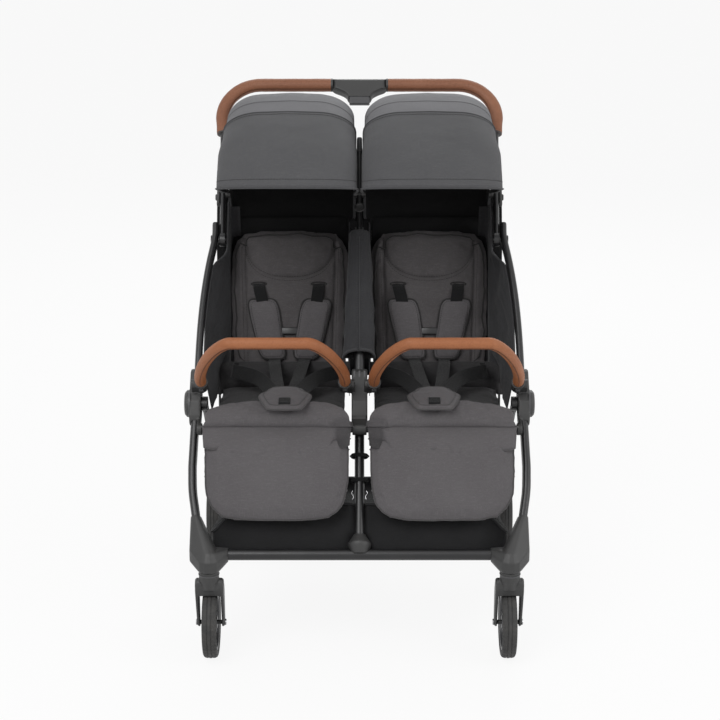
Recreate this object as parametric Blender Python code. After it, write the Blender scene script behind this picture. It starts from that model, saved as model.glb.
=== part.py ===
"""A folding pushchair for two children who sit side by side.

The chair faces -Y, +X is to the right of someone who looks at its front, and z is 0 on the floor.
Every size is in metres. Three like side frames (left, centre and right) stand on one front
crossbar. The rear frame, the seats and the handle fold about pins that run across the chair.
"""

import math

import bmesh
import bpy
from mathutils import Matrix, Vector

# Clearances
FIT = 0.0003            # between pieces that touch
PIN_FIT = 0.0003        # round a pin or a tube that turns in a bore
SIDE_GAP = 0.0006       # between pieces that swing past each other

# Side view of the frame: places across the chair's length (y) and height (z)
HINGE_Y, HINGE_Z = -0.120, 0.476        # main hinge, where front leg, side tube and rear leg meet
KNEE_Y, KNEE_Z = 0.125, 0.765           # where the handle folds on the side tubes
HANDLE_Y, HANDLE_Z = 0.380, 1.056       # middle of the hand grip
LEG_FOOT_Y, LEG_FOOT_Z = -0.335, 0.210  # lower end of the front leg's line
CROSSBAR_Y, CROSSBAR_Z = -0.320, 0.2225
SEAT_PIN_Y, SEAT_PIN_Z = -0.173, 0.4385 # tube that the seats and their front edge turn on
BACK_PIN_Y, BACK_PIN_Z = 0.080, 0.452   # tube between seat and backrest
CALF_PIN_Y, CALF_PIN_Z = -0.217, 0.462  # crease where the leg rest turns
REAR_AXLE_Y = 0.240
LINK_Y, LINK_Z = 0.060, 0.280           # pin of the seat link on the rear leg
CASTER_Y = -0.3460                      # upright axis of a front wheel's caster
CASTER_TRAIL = 0.025

# Places across the chair's width, from its middle
HINGE_X = 0.338         # side tube at the main hinge
FOOT_X = 0.3325         # front leg at its hub
LEG_LINE = ((0.0, 0.3390), (0.060, 0.3410), (0.140, 0.3430), (0.190, 0.3412), (0.245, FOOT_X),
            (0.280, 0.3270))  # distance down the front leg, and its middle across the chair
KNEE_X = 0.3105         # side tube at the handle's fold
ARM_KNEE_X = 0.2950     # handle arm at the fold
HANDLE_X = 0.3040       # handle arm at the top
REAR_LEG_X = 0.3218     # rear leg at the main hinge
REAR_FOOT_X = 0.3090    # rear leg at the axle
REAR_WHEEL_X = 0.3360
CASTER_X = 0.3030
SEAT_INNER, SEAT_OUTER = 0.026, 0.300
BACK_INNER, BACK_OUTER = 0.025, 0.280
CALF_INNER, CALF_OUTER = 0.0130, 0.3240
CANOPY_INNER, CANOPY_OUTER = 0.0080, 0.2870
BUMPER_INNER_X, BUMPER_OUTER_X = 0.0300, 0.3265

# Sections of the tubes, as half width across the chair and half depth
TUBE_W, TUBE_D = 0.0075, 0.0140
LEG_W = 0.0088
CENTRE_W, CENTRE_D = 0.0100, 0.0100
REAR_W, REAR_D = 0.0063, 0.0120
ARM_W, ARM_D = 0.0062, 0.0115
POST_W, POST_D = 0.0058, 0.0070
LINK_W, LINK_D = 0.0028, 0.0070
CROSSBAR_R = 0.0115
SEAT_TUBE_R = 0.0070
BACK_TUBE_R = 0.0070
REAR_TUBE_R = 0.0105
AXLE_R = 0.0045
HINGE_PIN_R = 0.0055
GRIP_R = 0.0145
BUMPER_R = 0.0118

# Wheels
FRONT_WHEEL_R, FRONT_WHEEL_W = 0.0735, 0.0300
REAR_WHEEL_R, REAR_WHEEL_W = 0.0825, 0.0290
TYRE_THICK = 0.0150

# Hinge housings
HOUSING_W = 0.0240      # side housing's width across the chair
HOUSING_UP = 0.070      # how far it holds the side tube
HOUSING_DOWN = 0.030    # how far it holds the front leg
HOUSING_R = 0.0270
CENTRE_HOUSING_W = 0.0330
CAP_R, CAP_W = 0.0285, 0.0125
TUBE_IN = 0.018         # depth of a tube in its socket

# Bumper bars
BUMPER_TILT = 40.0
BUMPER_REACH = 0.2050
BUMPER_CURVE_X, BUMPER_CURVE_D, BUMPER_CURVE = 0.0707, 0.1850, 1.5
BUMPER_SOCKET_Y, BUMPER_SOCKET_Z = -0.122, 0.5125
BUMPER_SOCKET_LONG = 0.0300
BUMPER_SOCKET_R = 0.0135
BUTTON_W, BUTTON_LONG, BUTTON_TALL, BUTTON_TRAVEL = 0.0100, 0.0140, 0.0040, 0.0020

# Handle
GRIP_CURVE = 0.085
GRIP_STRAIGHT = 0.0419  # leather on the arm below the handle's corner
HEAD_HALF = 0.0595      # half width of the middle housing
HEAD_WAIST = 0.0265     # half width of its lower edge, and of the trigger
HEAD_UP, HEAD_DOWN = 0.0120, 0.0380
HEAD_THICK = 0.0290
TRIGGER_TALL, TRIGGER_THICK, TRIGGER_TRAVEL = 0.0150, 0.0120, 0.0060
POST_LONG = 0.250       # from the fold to the upright's free top

# Canopies
CANOPY_PIVOT = 0.112    # distance of the canopy's pivot from the handle's fold, along the arm
CANOPY_CROWN = 0.220    # radius over the crown
CANOPY_BRIM = 0.300     # radius at the front edge
CANOPY_HEM_ANGLE = 164.8
CANOPY_SEAM_ANGLE = 119.0
CANOPY_OVERLAP = 5.0
CANOPY_BACK_ANGLE = 52.0
CANOPY_TAIL_ANGLE = -59.4
CANOPY_TAIL_SLOPE = 0.2637
CANOPY_SKIN = 0.0022
CANOPY_NEST = 0.0032    # how far the rear shell lies inside the front one
CANOPY_CORNER_X, CANOPY_CORNER_R = 0.085, 0.055
CANOPY_STUB_R = 0.0090
CANOPY_EYE = 0.0096     # radius left open round the pivot
BRIM_WIDER = 0.0052     # how far a canopy's outer side widens towards its front edge
BRIM_FROM, BRIM_FULL = 128.0, 146.0

# Soft pieces
BACK_ANGLE = 69.0
BACK_LONG, BACK_THICK = 0.330, 0.038
HEM_R = 0.0095          # pocket at the backrest's lower edge, round the rear seat tube
HEM_MARGIN = 0.030      # from the pocket's end to the cushion's side
SEAT_DROP = 0.0125
CALF_ANGLE = 239.4
CALF_LONG, CALF_THICK = 0.197, 0.034
CALF_STRAIGHT, CALF_CORNER = 0.58, 0.42
BASKET_FLOOR, BASKET_FLOOR_BACK = 0.198, 0.166
BASKET_SIDE, BASKET_FRONT, BASKET_BACK = 0.246, 0.308, 0.192
BASKET_BACK_Y, BASKET_LEAN = 0.185, 0.050
BASKET_SKIN = 0.0030
SLEEVE_FROM, SLEEVE_PAST = 0.100, 0.0141   # its foot, and how far it runs past the fold
SLEEVE_TOP_W, SLEEVE_FOOT_W, SLEEVE_D = 0.0220, 0.0340, 0.0200
WING_SKIN = 0.0020
SLEEVE_WALL_X = 0.0200
WING_KNEE_X = 0.2858    # wing inside the handle's fold
WING_BELLY = 0.0040
WING_TURN_FROM, WING_TURN_LONG = 0.0639, 0.0380  # where its edge turns in, below the fold
WING_TOP_BACK, WING_TOP_UP = 0.055, 0.065        # its highest corner, from the fold
WING_HEEL = 1.0 / 6.0    # share of the wing's front edge that is below the side tube

SIDES = {"left": -1.0, "right": 1.0}
ROUND = 12              # sides of a round tube

HINGE = Vector((0.0, HINGE_Y, HINGE_Z))
KNEE = Vector((0.0, KNEE_Y, KNEE_Z))
GRIP = Vector((0.0, HANDLE_Y, HANDLE_Z))
LEG_FOOT = Vector((0.0, LEG_FOOT_Y, LEG_FOOT_Z))
SEAT_PIN = Vector((0.0, SEAT_PIN_Y, SEAT_PIN_Z))
BACK_PIN = Vector((0.0, BACK_PIN_Y, BACK_PIN_Z))
CALF_PIN = Vector((0.0, CALF_PIN_Y, CALF_PIN_Z))
LINK_PIN = Vector((0.0, LINK_Y, LINK_Z))
REAR_AXLE = Vector((0.0, REAR_AXLE_Y, REAR_WHEEL_R))
CASTER_TOP = Vector((0.0, CASTER_Y, 0.200))
FRONT_AXLE = Vector((0.0, CASTER_Y + CASTER_TRAIL, FRONT_WHEEL_R))
CROSSBAR = Vector((0.0, CROSSBAR_Y, CROSSBAR_Z))
X_AXIS = Vector((1.0, 0.0, 0.0))
LEG_DIR = (HINGE - LEG_FOOT).normalized()
TUBE_DIR = (KNEE - HINGE).normalized()
ARM_DIR = (GRIP - KNEE).normalized()
ARM_NORMAL = Vector((0.0, -ARM_DIR.z, ARM_DIR.y))
CANOPY_PIN = KNEE + ARM_DIR * CANOPY_PIVOT
GRIP_FROM = (GRIP - KNEE).length - GRIP_CURVE - GRIP_STRAIGHT  # lower end of the leather


def across(x, place):
    """The place in the side view, moved out to x."""
    return Vector((x, place.y, place.z))


def direction(degrees):
    """The side view's direction at this angle: 0 points to the back and 90 up."""
    angle = math.radians(degrees)
    return Vector((0.0, math.cos(angle), math.sin(angle)))


BUMPER_DIR = direction(180.0 - BUMPER_TILT)
BUMPER_NORMAL = direction(90.0 - BUMPER_TILT)
BUMPER_SOCKET = Vector((0.0, BUMPER_SOCKET_Y, BUMPER_SOCKET_Z))


def linear(value):
    """One channel of a screen colour, 0 to 255, as linear light."""
    share = value / 255.0
    return share / 12.92 if share <= 0.04045 else ((share + 0.055) / 1.055) ** 2.4


def finish(name, colour, roughness, metallic=0.0):
    material = bpy.data.materials.get(name) or bpy.data.materials.new(name)
    material.use_nodes = True
    shader = material.node_tree.nodes["Principled BSDF"]
    shader.inputs["Base Color"].default_value = (*[linear(c) for c in colour], 1.0)
    shader.inputs["Roughness"].default_value = roughness
    shader.inputs["Metallic"].default_value = metallic
    return material


def black_tube():
    return finish("black_painted_tube", (34, 34, 35), 0.38, 0.6)


def black_plastic():
    return finish("black_plastic", (46, 46, 47), 0.5)


def grey_plastic():
    return finish("grey_plastic", (66, 66, 68), 0.4)


def brown_leather():
    return finish("brown_leather", (146, 102, 80), 0.5)


def tyre_rubber():
    return finish("tyre_rubber", (38, 38, 38), 0.8)


def steel():
    return finish("bright_steel", (150, 150, 152), 0.3, 1.0)


def seat_cloth():
    return finish("seat_cloth", (92, 90, 91), 0.9)


def back_cloth():
    return finish("back_cloth", (68, 66, 66), 0.9)


def canopy_cloth():
    return finish("canopy_cloth", (94, 94, 97), 0.85)


def dark_cloth():
    return finish("dark_cloth", (44, 44, 46), 0.95)


def clear_scene():
    for old in list(bpy.data.objects):
        bpy.data.objects.remove(old, do_unlink=True)


def add_object(name, mesh_builder, material, origin=None, smooth=40.0):
    """An object from a bmesh in world places, with its origin set on origin."""
    bmesh.ops.recalc_face_normals(mesh_builder, faces=mesh_builder.faces)
    if mesh_builder.calc_volume(signed=True) < 0.0:
        bmesh.ops.reverse_faces(mesh_builder, faces=mesh_builder.faces)
    place = Vector(origin) if origin is not None else Vector()
    bmesh.ops.translate(mesh_builder, verts=mesh_builder.verts, vec=-place)
    mesh = bpy.data.meshes.new(name)
    mesh_builder.to_mesh(mesh)
    mesh_builder.free()
    mesh.shade_smooth()
    mesh.set_sharp_from_angle(angle=math.radians(smooth))
    mesh.materials.append(material)
    made = bpy.data.objects.new(name, mesh)
    made.location = place
    bpy.context.collection.objects.link(made)
    return made


def helper(made):
    """Marks a cutter or a piece that a union takes in."""
    made.hide_render = True
    made.display_type = "WIRE"
    return made


def combine(target, other, operation):
    modifier = target.modifiers.new(operation.lower() + "_" + other.name, "BOOLEAN")
    modifier.operation = operation
    modifier.solver = "EXACT"
    modifier.object = helper(other)


def cut(target, *cutters):
    for cutter in cutters:
        combine(target, cutter, "DIFFERENCE")


def join(target, *others):
    for other in others:
        combine(target, other, "UNION")


def add_rings(mesh_builder, rings, loop=False):
    """Closed rings of points bridged in order, capped at both ends unless they loop."""
    made = [[mesh_builder.verts.new(p) for p in ring] for ring in rings]
    count = len(made[0])
    pairs = list(zip(made, made[1:] + made[:1])) if loop else list(zip(made, made[1:]))
    for first, second in pairs:
        for i in range(count):
            j = (i + 1) % count
            mesh_builder.faces.new((first[i], first[j], second[j], second[i]))
    if not loop:
        mesh_builder.faces.new(made[0][::-1])
        mesh_builder.faces.new(made[-1])


def rounded_section(half_a, half_b, sides=ROUND, square=2.0):
    """Points round an oval; a larger square gives flatter sides."""
    points = []
    for i in range(sides):
        angle = 2.0 * math.pi * (i + 0.5) / sides
        c, s = math.cos(angle), math.sin(angle)
        a = math.copysign(abs(c) ** (2.0 / square), c) * half_a
        b = math.copysign(abs(s) ** (2.0 / square), s) * half_b
        points.append((a, b))
    return points


def swept(name, path, section, side_axis, material, origin=None):
    """A bar of one section along a path. side_axis is the section's first axis."""
    rings = []
    for i, point in enumerate(path):
        before = path[max(i - 1, 0)]
        after = path[min(i + 1, len(path) - 1)]
        tangent = (after - before).normalized()
        first = (side_axis - tangent * side_axis.dot(tangent)).normalized()
        second = tangent.cross(first)
        rings.append([point + first * a + second * b for a, b in section])
    mesh_builder = bmesh.new()
    add_rings(mesh_builder, rings)
    return add_object(name, mesh_builder, material, origin)


def rod(name, start, end, radius, material, origin=None, sides=ROUND):
    axis = (end - start).normalized()
    side = axis.orthogonal().normalized()
    if abs(axis.x) < 0.5:
        side = X_AXIS
    section = rounded_section(radius, radius, sides)
    return swept(name, [start, end], section, side, material, origin)


def bore(name, start, end, radius, clearance=PIN_FIT, sides=ROUND):
    """A cutter whose flats clear a round piece of this radius at every turn."""
    wide = (radius + clearance) / math.cos(math.pi / sides)
    return rod(name, start, end, wide, black_plastic(), sides=sides)


def box(name, low, high, material, bevel=0.0, turn=None, origin=None):
    """A block between two corners; turn is a matrix that sets it in place."""
    mesh_builder = bmesh.new()
    bmesh.ops.create_cube(mesh_builder, size=1.0)
    low, high = Vector(low), Vector(high)
    bmesh.ops.scale(mesh_builder, vec=high - low, verts=mesh_builder.verts)
    bmesh.ops.translate(mesh_builder, vec=(low + high) / 2.0, verts=mesh_builder.verts)
    if bevel:
        bmesh.ops.bevel(
            mesh_builder, geom=mesh_builder.edges[:], offset=bevel, segments=2,
            affect="EDGES", profile=0.5,
        )
    if turn is not None:
        mesh_builder.transform(turn)
    return add_object(name, mesh_builder, material, origin)


def plate(name, outline, x_low, x_high, material, bevel=0.0, origin=None):
    """A side view outline of (y, z) points, extruded across the chair."""
    mesh_builder = bmesh.new()
    rings = [[Vector((x, y, z)) for y, z in outline] for x in (x_low, x_high)]
    add_rings(mesh_builder, rings)
    if bevel:
        rims = [e for e in mesh_builder.edges if abs(e.verts[0].co.x - e.verts[1].co.x) < 1e-6]
        bmesh.ops.bevel(
            mesh_builder, geom=rims, offset=bevel, segments=1, affect="EDGES", profile=0.5
        )
    return add_object(name, mesh_builder, material, origin)


def hull_outline(circles, steps=12):
    """The outline round a few circles, each (y, z, radius), as (y, z) points."""
    points = []
    for y, z, radius in circles:
        for i in range(steps):
            angle = 2.0 * math.pi * i / steps
            points.append((y + radius * math.cos(angle), z + radius * math.sin(angle)))
    points.sort()

    def half(ordered):
        kept = []
        for p in ordered:
            while len(kept) > 1 and turn_of(kept[-2], kept[-1], p) <= 1e-9:
                kept.pop()
            kept.append(p)
        return kept[:-1]

    return half(points) + half(points[::-1])


def turn_of(a, b, c):
    return (b[0] - a[0]) * (c[1] - a[1]) - (b[1] - a[1]) * (c[0] - a[0])


def turned(name, profile, centre, material, axis=X_AXIS, steps=20, ring=False, origin=None,
           flat_down=False):
    """A profile of (distance along axis, radius) points turned round the axis.

    A ring's profile is a closed loop clear of the axis; otherwise the ends are capped.
    With flat_down the radii are those of the flats, and one flat faces the floor.
    """
    side = Vector((0.0, 1.0, 0.0)) if abs(axis.x) > 0.9 else X_AXIS
    other = axis.cross(side)
    mesh_builder = bmesh.new()
    rings = []
    for along, radius in profile:
        points = []
        for i in range(steps):
            angle = 2.0 * math.pi * (i + (0.5 if flat_down else 0.0)) / steps
            spoke = side * math.cos(angle) + other * math.sin(angle)
            reach = radius / math.cos(math.pi / steps) if flat_down else radius
            points.append(centre + axis * along + spoke * reach)
        rings.append(points)
    add_rings(mesh_builder, rings, loop=ring)
    return add_object(name, mesh_builder, material, origin if origin is not None else centre)


def tube_x(share):
    """Middle of the side tube across the chair, at a share of its length."""
    return HINGE_X + (KNEE_X - HINGE_X) * share ** 3


def tube_length():
    return (KNEE - HINGE).length


def on_tube(distance):
    """A place in the side view on the side tube, from the main hinge."""
    return HINGE + TUBE_DIR * distance


def on_leg(distance):
    """A place in the side view on the front leg, down from the main hinge."""
    return HINGE - LEG_DIR * distance


def on_arm(distance):
    """A place in the side view on the handle arm, up from its fold."""
    return KNEE + ARM_DIR * distance


HUB_HOLD = 0.245        # from the main hinge down the leg to the hub casting's mouth
KNEE_PAST = 0.036       # how far a side tube runs past the handle's fold
FOOT_TALL = 0.0400       # of the centre leg's foot, from the crossbar
FOOT_BASE = HINGE - LEG_DIR * (HINGE - CROSSBAR).dot(LEG_DIR)


def leg_x(distance):
    """Middle of a side's front leg across the chair, this far down it."""
    for (d0, x0), (d1, x1) in zip(LEG_LINE, LEG_LINE[1:]):
        if distance <= d1:
            break
    return x0 + (x1 - x0) * (distance - d0) / (d1 - d0)


def lengthened(path, spare):
    """The path with both of its ends moved out by spare."""
    first = path[0] + (path[0] - path[1]).normalized() * spare
    last = path[-1] + (path[-1] - path[-2]).normalized() * spare
    return [first] + path[1:-1] + [last]


def front_leg_path(side):
    first, last = HUB_HOLD + TUBE_IN, HOUSING_DOWN - TUBE_IN
    steps = 6
    distances = [first + (last - first) * i / steps for i in range(steps + 1)]
    return [across(side * leg_x(d), on_leg(d)) for d in distances]


def side_tube_path(side):
    start = HOUSING_UP - TUBE_IN
    end = tube_length() + KNEE_PAST
    steps = 7
    places = [start + (end - start) * i / steps for i in range(steps + 1)]
    return [across(side * tube_x(min(1.0, d / tube_length())), on_tube(d)) for d in places]


def make_front_legs():
    section = rounded_section(LEG_W, TUBE_D, square=2.6)
    for name, side in SIDES.items():
        swept("front_leg_" + name, front_leg_path(side), section, X_AXIS, black_tube())
    centre = rounded_section(CENTRE_W, CENTRE_D)
    top = on_leg(HOUSING_DOWN - TUBE_IN)
    foot = FOOT_BASE + LEG_DIR * (FOOT_TALL + FIT)
    swept("front_leg_centre", [foot, top], centre, X_AXIS, black_tube())


def make_side_tubes():
    section = rounded_section(TUBE_W, TUBE_D, square=2.6)
    for name, side in SIDES.items():
        tube = swept("side_tube_" + name, side_tube_path(side), section, X_AXIS, black_tube())
        pin_in = ARM_KNEE_X - ARM_W - 0.0015
        pin = rod(
            "knee_pin_" + name, across(side * pin_in, KNEE), across(side * KNEE_X, KNEE),
            HINGE_PIN_R, steel(),
        )
        join(tube, pin)


CLEVIS_GAP = POST_W + SIDE_GAP
CLEVIS_CHEEK = 0.0035
CLEVIS_R = 0.0120


def make_centre_tube():
    section = rounded_section(CENTRE_W, CENTRE_D)
    start = on_tube(HOUSING_UP - TUBE_IN)
    end = on_tube(tube_length() - CLEVIS_R - 0.013)
    tube = swept("centre_tube", [start, end], section, X_AXIS, black_tube())
    below = end - TUBE_DIR * 0.005
    cheek_out = CLEVIS_GAP + CLEVIS_CHEEK
    outline = hull_outline([(KNEE_Y, KNEE_Z, CLEVIS_R), (below.y, below.z, CLEVIS_R)])
    fork = plate("centre_fork", outline, -cheek_out, cheek_out, black_tube())
    slot_low = KNEE - TUBE_DIR * (CLEVIS_R + 0.003)
    slot_outline = hull_outline([
        (slot_low.y, slot_low.z, CLEVIS_R * 1.2),
        (KNEE_Y + 0.03, KNEE_Z + 0.04, CLEVIS_R * 2.0),
        (KNEE_Y - 0.045, KNEE_Z - 0.006, CLEVIS_R),
    ])
    slot = plate("centre_fork_slot", slot_outline, -CLEVIS_GAP, CLEVIS_GAP, black_tube())
    cut(fork, slot)
    join(tube, fork)
    reach = cheek_out
    pin = rod("centre_knee_pin", across(-reach, KNEE), across(reach, KNEE), HINGE_PIN_R, steel())
    join(tube, pin)


def housing_circles():
    up = on_tube(HOUSING_UP - 0.012)
    down = on_leg(HOUSING_DOWN)
    return [
        (HINGE_Y, HINGE_Z, HOUSING_R), (up.y, up.z, 0.0190), (down.y, down.z, 0.0190),
    ]


def seat_boss_outline():
    """The arm of a housing that holds the end of the seat tube."""
    root = on_leg(HOUSING_DOWN + 0.006)
    return hull_outline([(SEAT_PIN_Y, SEAT_PIN_Z, SEAT_BOSS_R), (root.y, root.z, SEAT_BOSS_R)])


def bumper_socket(name, x):
    """The post that one end of a bumper bar stands on."""
    start = across(x, BUMPER_SOCKET)
    end = start + BUMPER_DIR * BUMPER_SOCKET_LONG
    return rod(name, start, end, BUMPER_SOCKET_R, black_plastic())


def button_turn(x):
    """Sets a block, made flat at the origin, on the upper face of a bumper socket."""
    middle = across(x, BUMPER_SOCKET) + BUMPER_DIR * (BUMPER_SOCKET_LONG * 0.5)
    seat = middle + BUMPER_NORMAL * BUMPER_SOCKET_R * -1.0
    basis = Matrix((
        (1.0, 0.0, 0.0),
        (0.0, BUMPER_DIR.y, -BUMPER_NORMAL.y),
        (0.0, BUMPER_DIR.z, -BUMPER_NORMAL.z),
    )).to_4x4()
    return Matrix.Translation(seat) @ basis


def button_block(name, x, grow, low, high, material, bevel=0.0, origin=None):
    half_w, half_l = BUTTON_W / 2.0 + grow, BUTTON_LONG / 2.0 + grow
    return box(
        name, (-half_w, -half_l, low), (half_w, half_l, high), material, bevel,
        button_turn(x), origin,
    )


BUTTON_DEEP = 0.0060


def cut_button_pocket(housing, x, tag):
    pocket = button_block("button_pocket_" + tag, x, FIT, -BUTTON_DEEP, 0.010, black_plastic())
    cut(housing, pocket)


def make_buttons():
    places = {
        "left_outer": -BUMPER_OUTER_X, "left_inner": -BUMPER_INNER_X,
        "right_inner": BUMPER_INNER_X, "right_outer": BUMPER_OUTER_X,
    }
    for tag, x in places.items():
        low = -BUTTON_DEEP + BUTTON_TRAVEL + FIT
        high = low + BUTTON_TALL + 0.0015
        button_block("bumper_button_" + tag, x, 0.0, low, high, grey_plastic(), 0.0008)


HOUSING_INNER = HINGE_X - HOUSING_W * 0.40
SEAT_BOSS = 0.0050      # how far the seat tube's arm stands in from a side housing
SEAT_BOSS_R = 0.0125
SEAT_TUBE_END = HINGE_X - TUBE_W - 0.0010


def make_side_housings():
    inner = HOUSING_INNER
    outer = inner + HOUSING_W
    outline = hull_outline(housing_circles())
    for name, side in SIDES.items():
        body = plate(
            "hinge_housing_" + name, outline, side * inner, side * outer,
            black_plastic(), 0.0030,
        )
        cap = turned(
            "hinge_cap_" + name,
            [(0.0, CAP_R), (CAP_W * 0.6, CAP_R), (CAP_W, CAP_R * 0.80)],
            across(side * (outer - 0.002), HINGE), black_plastic(), X_AXIS * side,
        )
        post = bumper_socket("bumper_post_" + name, side * BUMPER_OUTER_X)
        tie_low = BUMPER_SOCKET - BUMPER_DIR * 0.004
        tie_high = BUMPER_SOCKET + BUMPER_DIR * (BUMPER_SOCKET_LONG - 0.011)
        tie = plate(
            "bumper_tie_" + name,
            hull_outline([(tie_low.y, tie_low.z, 0.011), (tie_high.y, tie_high.z, 0.010)]),
            side * (inner - 0.006), side * (outer - 0.005), black_plastic(),
        )
        pin_in = REAR_LEG_X - REAR_W - 0.001
        pin = rod(
            "hinge_pin_" + name, across(side * pin_in, HINGE),
            across(side * (inner + 0.004), HINGE), HINGE_PIN_R, steel(),
        )
        boss = plate(
            "seat_boss_" + name, seat_boss_outline(), side * (HOUSING_INNER + 0.0002),
            side * (HOUSING_INNER + 0.0065), black_plastic(),
        )
        eye = turned(
            "seat_eye_" + name, [(0.0, SEAT_BOSS_R), (SEAT_BOSS + 0.003, SEAT_BOSS_R)],
            across(side * (HOUSING_INNER - SEAT_BOSS), SEAT_PIN), black_plastic(), X_AXIS * side,
            steps=16,
        )
        join(body, cap, post, tie, pin, boss, eye)
        leg = swept(
            "leg_socket_" + name, lengthened(front_leg_path(side), FIT),
            rounded_section(LEG_W + FIT, TUBE_D + FIT, square=2.6), X_AXIS, black_plastic(),
        )
        tube = swept(
            "tube_socket_" + name, lengthened(side_tube_path(side), FIT),
            rounded_section(TUBE_W + FIT, TUBE_D + FIT, square=2.6), X_AXIS, black_plastic(),
        )
        seat_tube = bore(
            "seat_tube_socket_" + name, across(side * (inner - 0.03), SEAT_PIN),
            across(side * (SEAT_TUBE_END + FIT), SEAT_PIN), SEAT_TUBE_R, FIT,
        )
        cut(body, leg, tube, seat_tube)
        cut_button_pocket(body, side * BUMPER_OUTER_X, name + "_outer")


def make_centre_housing():
    half = CENTRE_HOUSING_W / 2.0
    outline = hull_outline(housing_circles())
    body = plate("hinge_housing_centre", outline, -half, half, black_plastic(), 0.0030)
    join(body, plate("seat_boss_centre", seat_boss_outline(), -half * 0.9, half * 0.9,
                     black_plastic()))
    for name, side in SIDES.items():
        post = bumper_socket("bumper_post_inner_" + name, side * BUMPER_INNER_X)
        tie_low = BUMPER_SOCKET - BUMPER_DIR * 0.004
        tie_high = BUMPER_SOCKET + BUMPER_DIR * (BUMPER_SOCKET_LONG - 0.011)
        tie = plate(
            "bumper_tie_inner_" + name,
            hull_outline([(tie_low.y, tie_low.z, 0.011), (tie_high.y, tie_high.z, 0.010)]),
            side * (half - 0.006), side * (BUMPER_INNER_X - 0.004), black_plastic(),
        )
        join(body, post, tie)
    leg = swept(
        "centre_leg_socket", [on_leg(HOUSING_DOWN + 0.07), on_leg(HOUSING_DOWN - TUBE_IN - FIT)],
        rounded_section(CENTRE_W + FIT, CENTRE_D + FIT), X_AXIS, black_plastic(),
    )
    tube = swept(
        "centre_tube_socket",
        [on_tube(HOUSING_UP - TUBE_IN - FIT), on_tube(HOUSING_UP + 0.05)],
        rounded_section(CENTRE_W + FIT, CENTRE_D + FIT), X_AXIS, black_plastic(),
    )
    seat_tube = bore(
        "centre_seat_tube_bore", across(-half - 0.01, SEAT_PIN), across(half + 0.01, SEAT_PIN),
        SEAT_TUBE_R, FIT,
    )
    cut(body, leg, tube, seat_tube)
    for name, side in SIDES.items():
        cut_button_pocket(body, side * BUMPER_INNER_X, name + "_inner")


def make_front_seat_tube():
    rod(
        "front_seat_tube", across(-SEAT_TUBE_END, SEAT_PIN), across(SEAT_TUBE_END, SEAT_PIN),
        SEAT_TUBE_R, black_tube(),
    )


HUB_CUP_R = 0.0245
HUB_BAR_R = 0.0142
HUB_KNUCKLE_R = 0.0180
HUB_WALL = 0.0022
HUB_CUP_TOP = 0.240
STEM_R = 0.0060
STEM_TALL = 0.0180
BAR_END = 0.265         # half length of the front crossbar


def ring_round(centre, axis, half_a, half_b, side_axis, sides=12):
    first = (side_axis - axis * side_axis.dot(axis)).normalized()
    second = axis.cross(first)
    section = rounded_section(half_a, half_b, sides)
    return [centre + first * a + second * b for a, b in section]


def hull_solid(name, points, material):
    """The smallest bulging solid round a cloud of points."""
    mesh_builder = bmesh.new()
    for point in points:
        mesh_builder.verts.new(point)
    made = bmesh.ops.convex_hull(mesh_builder, input=mesh_builder.verts[:])
    inside = {v for v in made["geom_interior"] + made["geom_unused"]
              if isinstance(v, bmesh.types.BMVert)}
    bmesh.ops.delete(mesh_builder, geom=list(inside), context="VERTS")
    return add_object(name, mesh_builder, material)


def make_front_hubs():
    up = Vector((0.0, 0.0, 1.0))
    for name, side in SIDES.items():
        wide, deep = LEG_W + HUB_WALL, TUBE_D + HUB_WALL
        mouth = []
        for d in (HUB_HOLD, HUB_HOLD + 0.022):
            centre = across(side * leg_x(d), on_leg(d))
            mouth += ring_round(centre, LEG_DIR, wide, deep, X_AXIS)
        base = Vector((side * CASTER_X, CASTER_Y, CASTER_TOP.z))
        tall = HUB_CUP_TOP - CASTER_TOP.z
        cup = ring_round(base, up, HUB_CUP_R - 0.002, HUB_CUP_R - 0.002, X_AXIS)
        cup += ring_round(base + up * 0.004, up, HUB_CUP_R, HUB_CUP_R, X_AXIS)
        cup += ring_round(base + up * tall * 0.6, up, HUB_CUP_R, HUB_CUP_R, X_AXIS)
        cup += ring_round(base + up * tall, up, HUB_CUP_R - 0.010, HUB_CUP_R - 0.010, X_AXIS)
        outer = FOOT_X + LEG_W + HUB_WALL
        knuckle = Vector((side * (outer - HUB_KNUCKLE_R), CROSSBAR_Y - 0.006, CROSSBAR_Z + 0.014))
        bend = ring_round(knuckle, up, HUB_KNUCKLE_R, HUB_KNUCKLE_R, X_AXIS)
        bend += ring_round(knuckle - up * 0.024, up, HUB_KNUCKLE_R, HUB_KNUCKLE_R, X_AXIS)
        end = ring_round(across(side * BAR_END, CROSSBAR), X_AXIS, HUB_BAR_R, HUB_BAR_R, up)
        hub = hull_solid("front_hub_" + name, mouth + cup + bend, black_plastic())
        join(hub, hull_solid("hub_arm_" + name, cup + bend + end, black_plastic()))
        stem_bore = bore(
            "stem_bore_" + name, base - up * 0.01, base + up * (STEM_TALL + FIT), STEM_R,
        )
        leg = swept(
            "hub_leg_socket_" + name, lengthened(front_leg_path(side), FIT),
            rounded_section(LEG_W + FIT, TUBE_D + FIT, square=2.6), X_AXIS, black_plastic(),
        )
        bar = bore(
            "hub_bar_socket_" + name, across(side * (BAR_END + 0.02 + FIT), CROSSBAR),
            across(side * (BAR_END - 0.03), CROSSBAR), CROSSBAR_R, FIT,
        )
        cut(hub, stem_bore, leg, bar)


def make_crossbar():
    reach = BAR_END + 0.020
    rod("front_crossbar", across(-reach, CROSSBAR), across(reach, CROSSBAR),
        CROSSBAR_R, black_tube())


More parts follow.
